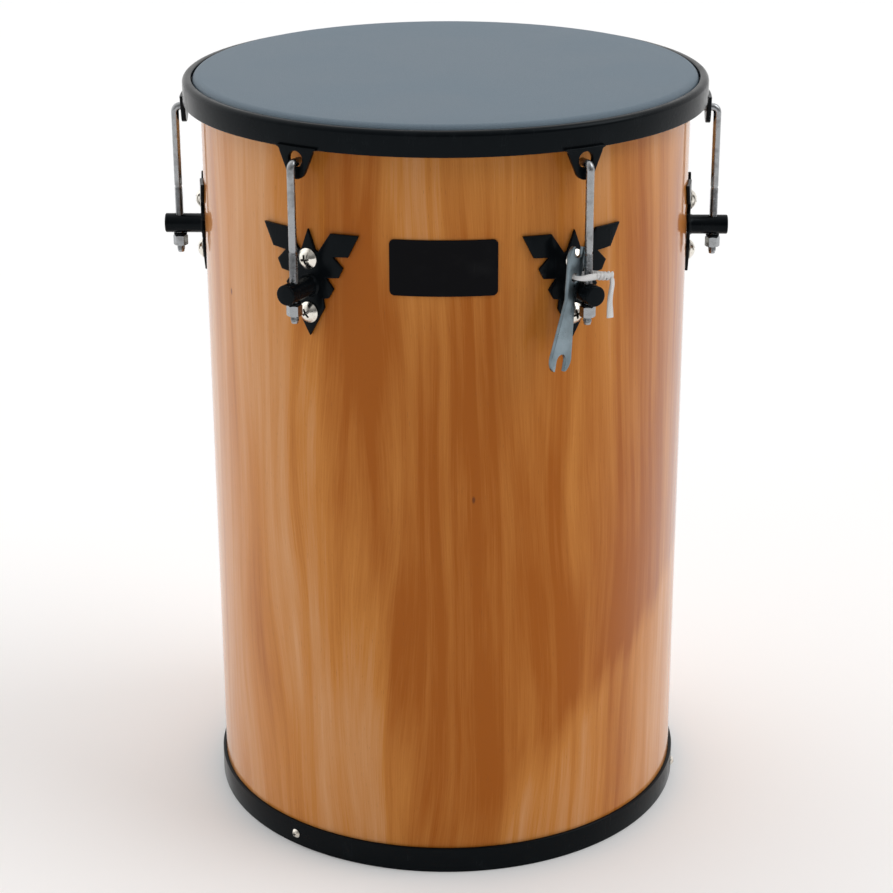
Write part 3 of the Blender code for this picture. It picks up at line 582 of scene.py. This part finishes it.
def screw_mesh(name, head, dome, shank, length, recess, wing, depth):
    """A screw whose head sits at height 0: a dome with a cross recess and a plain shank."""
    ball = (head * head + dome * dome) / (2 * dome)
    skirt = 0.12 * dome
    profile = [(0, dome)]
    for i in range(1, 9):
        r = head * i / 9
        profile.append((r, sqrt(ball * ball - r * r) - (ball - dome)))
    profile += [(head, skirt), (head, 0), (shank, 0), (shank, 0.8 * MM - length),
                (shank - 0.5 * MM, -length), (0, -length)]
    work = bmesh.new()
    half = wing / 2
    plus = [(half, half), (recess, half), (recess, -half), (half, -half)]
    plus = [(x * cos(t) + y * sin(t), y * cos(t) - x * sin(t))
            for t in (0, pi / 2, pi, 3 * pi / 2) for x, y in plus[:3]]
    low = [work.verts.new((0.5 * x, 0.5 * y, dome - depth)) for x, y in plus]
    high = [work.verts.new((1.1 * x, 1.1 * y, dome + 0.5 * MM)) for x, y in plus]
    for i in range(len(plus)):
        n = (i + 1) % len(plus)
        work.faces.new((low[i], low[n], high[n], high[i]))
    work.faces.new(low)
    work.faces.new(high)
    bmesh.ops.recalc_face_normals(work, faces=work.faces)
    cross = filled_from(work, bpy.data.meshes.new(name + "_cross"))
    mesh = cut_mesh(turned_mesh(name, profile, 40, closed=False), cross, 32)
    # faces down in the cross recess are marked so that the nickel material paints shade in them
    sunk = mesh.attributes.new("recess", 'FLOAT', 'FACE')
    for face in mesh.polygons:
        x, y, z = face.center
        surface = sqrt(ball * ball - min(x * x + y * y, head * head)) - (ball - dome)
        sunk.data[face.index].value = 1.0 if 0 < z < surface - 0.2 * MM else 0.0
    return mesh


def nickel_parts(tree):
    """Warm nickel plating, a little tarnished in patches, with painted shade down in the recess.
    """
    wear = marks(tree, roughness=0.14, smear=0.18, smear_scale=260, scratch_scale=2400)
    sunk = node(tree, 'ShaderNodeAttribute', attribute_name="recess").outputs['Fac']
    tarnish = maths(tree, 'MULTIPLY', wear['Dust'], 0.6)
    colour = mixed(tree, tarnish, (0.83, 0.79, 0.71, 1), (0.45, 0.39, 0.30, 1))
    # painted shade: the faces down in the cross recess are darkened almost to black
    recess_painted_shade = maths(tree, 'MULTIPLY', sunk, 0.85)
    colour = mixed(tree, recess_painted_shade, colour, (0.04, 0.035, 0.03, 1))
    return worn(tree, wear, colour, 0.005 * MM)


nickel = finish_of("nickel_screw_heads", {'Metallic': 1.0}, nickel_parts)

ring_screw = screw_mesh("ring_screw", RING_SCREW_HEAD, RING_SCREW_DOME, RING_SCREW_SHANK,
                        RING_SCREW_LENGTH, 1.7 * MM, 0.75 * MM, 1.1 * MM)
ring_screws = set_round_drum("ring_screws", ring_screw, nickel, places=RING_SCREW_COUNT,
                             first_turn=RING_SCREW_TURN, distance=RING_OUTER + 0.3 * MM,
                             height=RING_SCREW_HEIGHT, tilt=pi / 2, spin=1.4)
dress("ring_screws", ring_screws, nickel, "drum",
      *numbered("bottom_ring_screw", RING_SCREW_COUNT), slot="nickel_plating")

# ------------------------------------------------------------
# Head. A matt black plastic film with a fine leather-like texture. It lies flat over the
# bearing edge, bends down over it and runs into the channel hoop.
HEAD_HEIGHT = 474.5 * MM
FILM_THICKNESS = 1 * MM
FILM_OUTER = 154.3 * MM
FILM_SHOULDER = 4.8 * MM
COLLAR_END = 464.7 * MM


def film_parts(tree):
    """Leather grain: small raised cells with paler tops, larger soft hollows and rubbed patches;
    its blue-grey colours are painted sheen on a black film.
    """
    place = object_place(tree)
    cells = node(tree, 'ShaderNodeTexVoronoi', {'Vector': place, 'Scale': 900},
                 feature='DISTANCE_TO_EDGE').outputs['Distance']
    tops = steps_of(tree, cells, 0.02, 0.3)
    soft = noise(tree, place, 240, 3)
    height = maths(tree, 'MULTIPLY_ADD', soft, 0.8, tops)
    rubbed = steps_of(tree, noise(tree, place, 11, 3), 0.4, 0.7)
    share = maths(tree, 'MULTIPLY_ADD', rubbed, 0.25, maths(tree, 'MULTIPLY', tops, 0.35))
    # painted sheen: both colours stand well above the black of the film
    colour = mixed(tree, share, (0.095, 0.133, 0.168, 1), (0.145, 0.195, 0.238, 1))
    rough = maths(tree, 'MULTIPLY_ADD', rubbed, 0.08, 0.52)
    return {'Base Color': colour, 'Roughness': rough,
            'Normal': bumped(tree, height, 0.1 * MM, 0.6)}


film = finish_of("black_head_film", {'Specular IOR Level': 0.4,
                                     'Specular Tint': (0.85, 0.94, 1, 1)}, film_parts)

bend = (FILM_OUTER - FILM_SHOULDER, HEAD_HEIGHT - FILM_SHOULDER)
head_profile = [(0, HEAD_HEIGHT), (0.07, HEAD_HEIGHT), (0.13, HEAD_HEIGHT)]
head_profile += arc(bend, FILM_SHOULDER, 90, 0, 10)
head_profile += [(FILM_OUTER, COLLAR_END), (FILM_OUTER - FILM_THICKNESS, COLLAR_END)]
head_profile += arc(bend, FILM_SHOULDER - FILM_THICKNESS, 0, 90, 6)
head_profile.append((0, HEAD_HEIGHT - FILM_THICKNESS))
dress("head_film", turned_mesh("head_film", head_profile, DRUM_STEPS, closed=False), film,
      "hoop", "head_skin", slot="black_film")


# ------------------------------------------------------------
# Flesh hoop. The aluminium channel that grips the film's edge; it lies hidden under the
# counterhoop's flange, and its CAD solid stays.
def aluminium_parts(tree):
    """Plain extruded aluminium with faint drawing lines."""
    wear = marks(tree, roughness=0.32, smear=0.1, scratch_scale=1500)
    colour = mixed(tree, wear['Dust'], (0.66, 0.66, 0.67, 1), (0.5, 0.5, 0.51, 1))
    return worn(tree, wear, colour, 0.02 * MM)


aluminium = finish_of("channel_aluminium", {'Metallic': 1.0}, aluminium_parts)


def finish_cad_node(name, look):
    cad_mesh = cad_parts[name].data
    cad_mesh.materials.clear()
    cad_mesh.materials.append(look)


finish_cad_node("flesh_hoop", aluminium)

# ------------------------------------------------------------
# Counterhoop. A flanged steel hoop that presses the channel hoop down, with six ears that
# flow down from its lower edge. Each ear has a round hole for a rod's hook. All of it has
# the same thick gloss black paint.
HOOP_OUTER = 160.5 * MM
HOOP_INNER = 158 * MM
HOOP_FLANGE_INNER = 155 * MM
HOOP_TOP = 472.5 * MM
HOOP_BOTTOM = 457.8 * MM
HOOP_FLANGE_THICKNESS = 2.5 * MM
HOOP_ROUND = 3 * MM
HOOP_LIP = 0.9 * MM
EAR_INNER = HOOP_OUTER - 0.8 * MM
EAR_THICKNESS = 3 * MM
EAR_HALF_WIDTH = 10.9 * MM
EAR_FILLET = 2.2 * MM
EAR_FILLET_HEIGHT = -1.8 * MM
EAR_LAP = 1.4 * MM
EAR_DROP = 17.1 * MM
EAR_END_RADIUS = 6.4 * MM
EAR_HOLE_DROP = 5.5 * MM
EAR_HOLE_RADIUS = 4.6 * MM
PLATE_STRIP = 2.5 * MM


def plate_mesh(name, outlines, thickness, edge):
    """A flat plate centred on its XY plane, with rounded edges; inner outlines are holes."""
    curve = bpy.data.curves.new(name, 'CURVE')
    curve.dimensions = '2D'
    curve.fill_mode = 'BOTH'
    curve.extrude = thickness / 2 - edge
    curve.bevel_depth = edge
    curve.bevel_resolution = 2
    curve.offset = -edge
    for outline in outlines:
        spline = curve.splines.new('POLY')
        spline.points.add(len(outline) - 1)
        for point, (x, y) in zip(spline.points, outline):
            point.co = (x, y, 0, 1)
        spline.use_cyclic_u = True
    mesh = evaluated_mesh(bpy.data.objects.new(name, curve))
    work = bmesh.new()
    work.from_mesh(mesh)
    bmesh.ops.remove_doubles(work, verts=work.verts, dist=0.001 * MM)
    bmesh.ops.recalc_face_normals(work, faces=work.faces)
    return filled_from(work, mesh)


def bent_round_drum(mesh, radius, height):
    """The plate bent round the drum's axis, its middle layer at this radius."""
    work = bmesh.new()
    work.from_mesh(mesh)
    reach = max(abs(v.co.x) for v in work.verts)
    strips = int(reach / PLATE_STRIP)
    for i in range(-strips, strips + 1):
        everything = list(work.verts) + list(work.edges) + list(work.faces)
        bmesh.ops.bisect_plane(work, geom=everything, dist=0.001 * MM,
                               plane_co=(i * PLATE_STRIP, 0, 0), plane_no=(1, 0, 0))
    for v in work.verts:
        turn = v.co.x / radius
        away = radius + v.co.z
        v.co = (away * sin(turn), -away * cos(turn), height + v.co.y)
    return filled_from(work, mesh, 40)


def joined_mesh(name, meshes):
    """One mesh of several, each as it lies."""
    work = bmesh.new()
    for mesh in meshes:
        work.from_mesh(mesh)
    return filled_from(work, bpy.data.meshes.new(name))


def ear_outline():
    end = (0, EAR_END_RADIUS - EAR_DROP)
    above_end = EAR_FILLET_HEIGHT - end[1]
    tangent = atan2(above_end, EAR_HALF_WIDTH) - acos(
        EAR_END_RADIUS / hypot(EAR_HALF_WIDTH, above_end))
    half = [(EAR_HALF_WIDTH + EAR_FILLET, EAR_LAP)]
    half += arc((EAR_HALF_WIDTH + EAR_FILLET, EAR_FILLET_HEIGHT), EAR_FILLET, 90, 180, 8)
    half += arc(end, EAR_END_RADIUS, degrees(tangent), -90, 10)
    return half + [(-x, y) for x, y in reversed(half[:-1])]


hoop_profile = arc((HOOP_FLANGE_INNER + HOOP_LIP, HOOP_TOP - HOOP_LIP), HOOP_LIP, 180, 90, 5)
hoop_profile += arc((HOOP_OUTER - HOOP_ROUND, HOOP_TOP - HOOP_ROUND), HOOP_ROUND, 90, 0, 10)
hoop_profile += arc((HOOP_OUTER - 0.6 * MM, HOOP_BOTTOM + 0.6 * MM), 0.6 * MM, 0, -90, 3)
hoop_profile += [(HOOP_INNER, HOOP_BOTTOM), (HOOP_INNER, HOOP_TOP - HOOP_FLANGE_THICKNESS),
                 (HOOP_FLANGE_INNER, HOOP_TOP - HOOP_FLANGE_THICKNESS)]
hoop_mesh = turned_mesh("hoop_ring", hoop_profile, DRUM_STEPS)
ear_hole = arc((0, -EAR_HOLE_DROP), EAR_HOLE_RADIUS, 360, 15, 23)
ear = bent_round_drum(plate_mesh("ear", [ear_outline(), ear_hole], EAR_THICKNESS, 0.5 * MM),
                      EAR_INNER + EAR_THICKNESS / 2, HOOP_BOTTOM)
ears = set_round_drum("ears", ear, black_paint)
dress("hoop_with_ears", joined_mesh("hoop_with_ears", [hoop_mesh, ears]), black_paint,
      "hoop", "counterhoop", slot="black_paint")

# ------------------------------------------------------------
# Tension rods. Six zinc-plated steel rods: each hooks out through an ear, runs straight
# down and ends in a rolled thread that passes through a lug's post.
HOOK_HEIGHT = 450.4 * MM
ROD_SHANK = 2.4 * MM
ROD_THREAD = 2.5 * MM
ROD_ROOT = 2.05 * MM
ROD_BEND_RADIUS = 3.5 * MM
ROD_BOTTOM = 357.4 * MM
ROD_THREAD_LENGTH = 42.5 * MM
THREAD_PITCH = 0.8 * MM
THREAD_STEPS = 20
HOOK_TAIL = 2 * MM


def thread_mesh(name, low, high, root, crest):
    """A helical ridge on a bar, its crest a full pitch apart, closed at both ends."""
    work = bmesh.new()
    count = int((high - low) / THREAD_PITCH * THREAD_STEPS)
    half = THREAD_PITCH / 2
    rows = []
    for i in range(count + 1):
        turn = 2 * pi * i / THREAD_STEPS
        z = low + THREAD_PITCH * i / THREAD_STEPS
        top = root + (crest - root) * min(1, i / THREAD_STEPS, (count - i) / THREAD_STEPS)
        foot = root - 0.1 * MM
        ridge = ((foot, z - half * 0.98), (top, z - half * 0.2),
                 (top, z + half * 0.2), (foot, z + half * 0.98))
        rows.append([work.verts.new((r * cos(turn), r * sin(turn), h)) for r, h in ridge])
    for a, b in zip(rows, rows[1:]):
        for k in range(4):
            n = (k + 1) % 4
            work.faces.new((a[k], b[k], b[n], a[n]))
    work.faces.new(rows[0])
    work.faces.new(reversed(rows[-1]))
    bmesh.ops.recalc_face_normals(work, faces=work.faces)
    return filled_from(work, bpy.data.meshes.new(name), 50)


def bar_mesh(name, path, radius, sides):
    """A round bar along a path of places and sizes, with filled ends."""
    curve = bpy.data.curves.new(name, 'CURVE')
    curve.dimensions = '3D'
    curve.bevel_depth = radius
    curve.bevel_resolution = sides
    curve.use_fill_caps = True
    spline = curve.splines.new('POLY')
    spline.points.add(len(path) - 1)
    for point, (place, size) in zip(spline.points, path):
        point.co = (*place, 1)
        point.radius = size
    mesh = evaluated_mesh(bpy.data.objects.new(name, curve))
    work = bmesh.new()
    work.from_mesh(mesh)
    bmesh.ops.remove_doubles(work, verts=work.verts, dist=0.001 * MM)
    return filled_from(work, mesh, 40)


def zinc_parts(tree):
    """Bright zinc, bluish where it is fresh and dull in patches."""
    wear = marks(tree, roughness=0.2, smear=0.2, smear_scale=180, scratch_scale=1800)
    dull = maths(tree, 'MULTIPLY', wear['Dust'], 0.6)
    colour = mixed(tree, dull, (0.34, 0.35, 0.36, 1), (0.19, 0.19, 0.19, 1))
    return worn(tree, wear, colour, 0.004 * MM)


zinc = finish_of("bright_zinc", {'Metallic': 1.0}, zinc_parts)

thread_top = ROD_BOTTOM + ROD_THREAD_LENGTH
hook_bend = (ROD_DISTANCE - ROD_BEND_RADIUS, HOOK_HEIGHT - ROD_BEND_RADIUS)
hook_start = EAR_INNER - HOOK_TAIL
rod_path = [((0, -hook_start, HOOK_HEIGHT), 0.75),
            ((0, -hook_start - 0.5 * MM, HOOK_HEIGHT), 1)]
rod_path += [((0, -r, z), 1) for r, z in arc(hook_bend, ROD_BEND_RADIUS, 90, 0, 10)]
rod_path += [((0, -ROD_DISTANCE, thread_top + 0.8 * MM), 1),
             ((0, -ROD_DISTANCE, thread_top), ROD_ROOT / ROD_SHANK),
             ((0, -ROD_DISTANCE, ROD_BOTTOM + 0.5 * MM), ROD_ROOT / ROD_SHANK),
             ((0, -ROD_DISTANCE, ROD_BOTTOM), 0.78)]
rod_thread = thread_mesh("rod_thread", ROD_BOTTOM + 0.9 * MM, thread_top - 0.2 * MM, ROD_ROOT,
                         ROD_THREAD)
rod_thread.transform(Matrix.Translation((0, -ROD_DISTANCE, 0)))
rod = joined_mesh("rod", [bar_mesh("rod_bar", rod_path, ROD_SHANK, 6), rod_thread])
dress("tension_rods", set_round_drum("tension_rods", rod, zinc), zinc, "hoop",
      *numbered("tension_rod", LUG_COUNT), slot="zinc_plating")

# ------------------------------------------------------------
# Tension nuts. A zinc hexagon nut on each rod under its lug, its corners chamfered top and
# bottom. Each turns on its own rod, so each is a piece of its own.
NUT_ACROSS_FLATS = 8 * MM
NUT_TOP = 368.4 * MM
NUT_HEIGHT = 6.5 * MM
NUT_CHAMFER = radians(28)
NUT_FACE = 3.72 * MM
NUT_BORE = 2.4 * MM
NUT_BORE_CHAMFER = (0.16 * MM, 0.35 * MM)
NUT_STEPS = 72


def nut_mesh(name):
    """A hexagon nut round the Z axis with chamfered corners and a bore."""
    flat = NUT_ACROSS_FLATS / 2
    low = NUT_TOP - NUT_HEIGHT
    mouth, depth = NUT_BORE + NUT_BORE_CHAMFER[0], NUT_BORE_CHAMFER[1]
    work = bmesh.new()
    sections = []
    for k in range(NUT_STEPS):
        turn = 2 * pi * k / NUT_STEPS
        outer = flat / cos((turn + pi / 6) % (pi / 3) - pi / 6)
        drop = max(0, outer - 0.95 * flat) * tan(NUT_CHAMFER)
        profile = ((NUT_BORE, low + depth), (mouth, low), (NUT_FACE, low), (outer, low + drop),
                   (outer, NUT_TOP - drop), (NUT_FACE, NUT_TOP), (mouth, NUT_TOP),
                   (NUT_BORE, NUT_TOP - depth))
        sections.append([work.verts.new((r * cos(turn), r * sin(turn), z)) for r, z in profile])
    for here, there in zip(sections, sections[1:] + sections[:1]):
        for i in range(len(here)):
            n = (i + 1) % len(here)
            work.faces.new((here[i], there[i], there[n], here[n]))
    bmesh.ops.recalc_face_normals(work, faces=work.faces)
    return filled_from(work, bpy.data.meshes.new(name), 25)


for k in range(LUG_COUNT):
    nut = nut_mesh(f"hex_nut_{k + 1}")
    nut.transform(Matrix.Rotation(FIRST_LUG_TURN + 2 * pi * k / LUG_COUNT, 4, 'Z')
                  @ Matrix.Translation((0, -ROD_DISTANCE, 0)))
    dress(f"hex_nut_{k + 1}", nut, zinc, f"nut_{k + 1}", f"tension_nut_{k + 1}",
          slot="zinc_plating")

# ------------------------------------------------------------
# Rod washers. A thin black washer lies between each nut and the post above it, so that the
# nut turns on steel and not on paint.
WASHER_TOP = 369.7 * MM
WASHER_THICKNESS = 1 * MM
WASHER_RADIUS = 4.2 * MM
WASHER_BORE = 2.7 * MM

washer_low = WASHER_TOP - WASHER_THICKNESS
washer_profile = arc((WASHER_RADIUS - 0.3 * MM, WASHER_TOP - 0.3 * MM), 0.3 * MM, 90, 0, 3)
washer_profile += arc((WASHER_RADIUS - 0.3 * MM, washer_low + 0.3 * MM), 0.3 * MM, 0, -90, 3)
washer_profile += [(WASHER_BORE, washer_low), (WASHER_BORE, WASHER_TOP)]
washer = turned_mesh("rod_washer", washer_profile, 32)
washer.transform(Matrix.Translation((0, -ROD_DISTANCE, 0)))
washers = set_round_drum("rod_washers", washer, black_paint)
dress("rod_washers", washers, black_paint, "drum", *numbered("rod_washer", LUG_COUNT),
      slot="black_paint")

# ------------------------------------------------------------
# Lugs. A steel plate cut like a pair of feathered wings and bent to the shell, with a
# round post welded to its middle; the rod passes through a hole across the post.
POST_HEIGHT = 376 * MM
POST_RADIUS = 6 * MM
POST_EDGE = 0.8 * MM
POST_END = ROD_DISTANCE + 9 * MM
PLATE_INNER = SHELL_RADIUS + 0.3 * MM
PLATE_THICKNESS = 2 * MM
PLATE_HALF_WIDTH = 32.5 * MM
PLATE_ABOVE_POST = 33.5 * MM
PLATE_BELOW_POST = 30.2 * MM
LUG_SCREW_SPACING = 32 * MM
# shares of the half width, and of the reach above or below the post
WING_ABOVE = [(0.00, 1.00), (0.14, 0.64), (0.20, 0.61), (0.455, 0.97), (1.00, 0.98),
              (0.79, 0.585), (0.50, 0.56), (0.69, 0.375), (0.60, 0.20), (0.355, 0.175)]
WING_BELOW = [(0.50, 0.015), (0.40, 0.20), (0.285, 0.23), (0.31, 0.415), (0.00, 1.00)]

wing = [(x * PLATE_HALF_WIDTH, y * PLATE_ABOVE_POST) for x, y in WING_ABOVE]
wing += [(x * PLATE_HALF_WIDTH, -y * PLATE_BELOW_POST) for x, y in WING_BELOW]
wings = wing + [(-x, y) for x, y in reversed(wing[1:-1])]
plate = bent_round_drum(plate_mesh("lug_plate", [wings], PLATE_THICKNESS, 0.35 * MM),
                        PLATE_INNER + PLATE_THICKNESS / 2, POST_HEIGHT)

post_start = PLATE_INNER + 1 * MM
post_length = POST_END - post_start
weld_height = PLATE_THICKNESS + 0.6 * MM
post_profile = [(0, post_length)]
post_profile += arc((POST_RADIUS - POST_EDGE, post_length - POST_EDGE), POST_EDGE, 90, 0, 4)
post_profile += [(POST_RADIUS, weld_height)]
post_profile += [(POST_RADIUS + 0.5 * MM, weld_height - 0.9 * MM),
                 (POST_RADIUS + 1.1 * MM, 0.9 * MM), (0, 0)]
bore_work = bmesh.new()
bmesh.ops.create_cone(bore_work, cap_ends=True, segments=40, radius1=ROD_THREAD + 0.5 * MM,
                      radius2=ROD_THREAD + 0.5 * MM, depth=4 * POST_RADIUS,
                      matrix=Matrix.Translation((0, 0, ROD_DISTANCE - post_start))
                      @ Matrix.Rotation(pi / 2, 4, 'X'))
post_mesh = cut_mesh(turned_mesh("post", post_profile, 48, closed=False),
                     filled_from(bore_work, bpy.data.meshes.new("post_bore")), 40)
post_mesh.transform(Matrix.Translation((0, -post_start, POST_HEIGHT))
                    @ Matrix.Rotation(pi / 2, 4, 'X'))
lugs = set_round_drum("winged_lugs", joined_mesh("winged_lug", [plate, post_mesh]),
                      black_paint)
dress("winged_lugs", lugs, black_paint, "drum", *numbered("lug", LUG_COUNT),
      slot="black_paint")

# ------------------------------------------------------------
# Lug screws. Two nickel dome-headed machine screws with a cross recess hold each lug, one
# above and one below its post. The nuts on their ends inside the shell are CAD solids.
LUG_SCREW_HEAD = 6.2 * MM
LUG_SCREW_DOME = 3.8 * MM
LUG_SCREW_SHANK = 2.5 * MM
LUG_SCREW_LENGTH = 15.9 * MM

lug_screw = screw_mesh("lug_screw", LUG_SCREW_HEAD, LUG_SCREW_DOME, LUG_SCREW_SHANK,
                       LUG_SCREW_LENGTH, 3.3 * MM, 1.5 * MM, 2.4 * MM)
lug_screws = set_round_drum("lug_screws", lug_screw, nickel, rows=2, tilt=pi / 2, spin=1.5,
                            distance=PLATE_INNER + PLATE_THICKNESS + 0.3 * MM,
                            height=POST_HEIGHT, row_spacing=LUG_SCREW_SPACING)
dress("lug_screws", lug_screws, nickel, "drum", *numbered("lug_screw", 2 * LUG_COUNT),
      slot="nickel_plating")
for inner_nut in numbered("lug_screw_nut", 2 * LUG_COUNT):
    finish_cad_node(inner_nut, zinc)

# ------------------------------------------------------------
# Badge. A small gloss black plate with rounded corners, glued to the shell between the
# two front lugs. Its face is bare.
BADGE_HALF_WIDTH = 31 * MM
BADGE_HALF_HEIGHT = 16.5 * MM
BADGE_CORNER = 3 * MM
BADGE_THICKNESS = 0.6 * MM
BADGE_HEIGHT = POST_HEIGHT + 15.7 * MM
BADGE_SIDEWAYS = 1.8 * MM


def badge_parts(tree):
    """Smooth black enamel with faint wiping marks."""
    wear = marks(tree, roughness=0.1, smear=0.14, smear_scale=45, peel_scale=300)
    colour = mixed(tree, wear['Dust'], (0.002, 0.002, 0.003, 1), (0.006, 0.006, 0.007, 1))
    return worn(tree, wear, colour, 0.02 * MM)


enamel = finish_of("badge_enamel", {'Specular IOR Level': 0.06}, badge_parts)

corner_x = BADGE_HALF_WIDTH - BADGE_CORNER
corner_y = BADGE_HALF_HEIGHT - BADGE_CORNER
badge_outline = []
for sign_x, sign_y, start in ((1, 1, 0), (-1, 1, 90), (-1, -1, 180), (1, -1, 270)):
    badge_outline += arc((sign_x * corner_x, sign_y * corner_y), BADGE_CORNER, start,
                         start + 90, 8)
badge = bent_round_drum(plate_mesh("badge_plate", [badge_outline], BADGE_THICKNESS, 0.15 * MM),
                        SHELL_RADIUS + 0.3 * MM + BADGE_THICKNESS / 2, BADGE_HEIGHT)
badge.transform(Matrix.Rotation(BADGE_SIDEWAYS / SHELL_RADIUS, 4, 'Z'))
dress("badge_plate", badge, enamel, "drum", "badge", slot="badge_black")

# ------------------------------------------------------------
# Tuning key. A flat zinc-plated spanner stamped from sheet, with an open jaw at each end
# and a hole for its cord. It hangs from the cord by the first rod.
KEY_THICKNESS = 2.3 * MM
KEY_HOLE_RADIUS = 2.75 * MM
KEY_HOLE_SIDEWAYS = -9.2 * MM
KEY_HOLE_OUTWARD = -1.1 * MM
KEY_TURN = radians(19)
KEY_LEAN = radians(-13)
KEY_SMALL_JAW = 3.3 * MM
KEY_SMALL_HEAD = 7.4 * MM
KEY_SMALL_HEAD_HEIGHT = 12 * MM
KEY_SMALL_JAW_BOTTOM = 11.2 * MM
KEY_TOP = 17.6 * MM
KEY_WAIST = 3.6 * MM
KEY_WAIST_HEIGHT = -13 * MM
KEY_BIG_JAW = 4.2 * MM
KEY_BIG_HEAD = 8.9 * MM
KEY_BIG_HEAD_HEIGHT = -47.5 * MM
KEY_BIG_JAW_BOTTOM = -44.5 * MM
KEY_BOTTOM = -54.5 * MM

top_end = degrees(asin((KEY_TOP - KEY_SMALL_HEAD_HEIGHT) / KEY_SMALL_HEAD))
low_end = degrees(asin((KEY_BOTTOM - KEY_BIG_HEAD_HEIGHT) / KEY_BIG_HEAD))
key_side = arc((0, KEY_SMALL_JAW_BOTTOM + KEY_SMALL_JAW), KEY_SMALL_JAW, -90, 0, 8)
key_side.append((KEY_SMALL_JAW, KEY_TOP))
key_side += arc((0, KEY_SMALL_HEAD_HEIGHT), KEY_SMALL_HEAD, top_end, -20, 10)
key_side.append((KEY_WAIST, KEY_WAIST_HEIGHT))
key_side += arc((0, KEY_BIG_HEAD_HEIGHT), KEY_BIG_HEAD, 15, low_end, 12)
key_side.append((KEY_BIG_JAW, KEY_BOTTOM))
key_side += arc((0, KEY_BIG_JAW_BOTTOM - KEY_BIG_JAW), KEY_BIG_JAW, 0, 90, 8)
key_outline = key_side + [(-x, y) for x, y in reversed(key_side[1:-1])]
key_hole = arc((0, 0), KEY_HOLE_RADIUS, 360, 15, 23)
key = plate_mesh("tuning_key_plate", [key_outline, key_hole], KEY_THICKNESS, 0.25 * MM)
key.shade_smooth()
key.set_sharp_from_angle(angle=radians(40))
key.transform(first_lug @ Matrix.Translation((KEY_HOLE_SIDEWAYS,
                                              -ROD_DISTANCE - KEY_HOLE_OUTWARD, KEY_HOLE_HEIGHT))
              @ Matrix.Rotation(KEY_TURN, 4, 'Z') @ Matrix.Rotation(pi / 2, 4, 'X')
              @ Matrix.Rotation(KEY_LEAN, 4, 'Z'))


def key_parts(tree):
    """Bluish zinc on flat sheet: cloudy patches and fine rolling lines."""
    wear = marks(tree, roughness=0.26, smear=0.16, smear_scale=120, scratch_scale=1300)
    cloudy = steps_of(tree, noise(tree, object_place(tree), 70, 4), 0.35, 0.7)
    colour = mixed(tree, cloudy, (0.24, 0.30, 0.335, 1), (0.15, 0.19, 0.21, 1))
    return worn(tree, wear, colour, 0.008 * MM)


key_zinc = finish_of("key_zinc", {'Metallic': 1.0}, key_parts)
dress("tuning_key_plate", key, key_zinc, "key", "tuning_key", slot="zinc_plating")

# ------------------------------------------------------------
# Studio. A pale floor that runs on behind the drum, a room that is bright behind, above
# and to the left but dim on the camera's side, and one wide soft light from the right.
FLOOR_SIZE = 16
FLOOR_COLOUR = (0.93, 0.93, 0.93, 1)
ROOM_DIM = 0.14
ROOM_BACK = 0.92
ROOM_LEFT = 0.45
ROOM_ABOVE = 0.38
SUN_STRENGTH = 0.85
SUN_ANGLE = radians(38)
SUN_WAY = Vector((0.85, -0.12, 0.8))

floor_mesh = bpy.data.meshes.new("floor")
reach = FLOOR_SIZE / 2
corners = [(-reach, -reach, 0), (reach, -reach, 0), (reach, reach, 0), (-reach, reach, 0)]
floor_mesh.from_pydata(corners, [], [(0, 1, 2, 3)])
floor_mesh.materials.append(finish_of(
    "pale_floor", {'Base Color': FLOOR_COLOUR, 'Roughness': 0.8, 'Specular IOR Level': 0.1},
    lambda tree: {}))
floor = bpy.data.objects.new("floor", floor_mesh)
bpy.context.scene.collection.objects.link(floor)

world = bpy.data.worlds.new("studio")
world.use_nodes = True
bpy.context.scene.world = world
room = world.node_tree
room_way = node(room, 'ShaderNodeTexCoord').outputs['Generated']
right, forward, upward = node(room, 'ShaderNodeSeparateXYZ', {0: room_way}).outputs
strength = steps_of(room, forward, -0.6, 0.45, ROOM_DIM, ROOM_BACK)
strength = maths(room, 'ADD', strength, steps_of(room, right, -0.9, -0.1, ROOM_LEFT, 0))
strength = maths(room, 'ADD', strength, steps_of(room, upward, 0.25, 0.9, 0, ROOM_ABOVE))
room.links.new(strength, room.nodes["Background"].inputs['Strength'])
room.nodes["Background"].inputs['Color'].default_value = (1, 1, 1, 1)

sun_data = bpy.data.lights.new("soft_sun", 'SUN')
sun_data.energy = SUN_STRENGTH
sun_data.angle = SUN_ANGLE
sun = bpy.data.objects.new("soft_sun", sun_data)
sun.rotation_euler = SUN_WAY.to_track_quat('Z', 'Y').to_euler()
bpy.context.scene.collection.objects.link(sun)
bpy.context.scene.view_settings.view_transform = 'Standard'
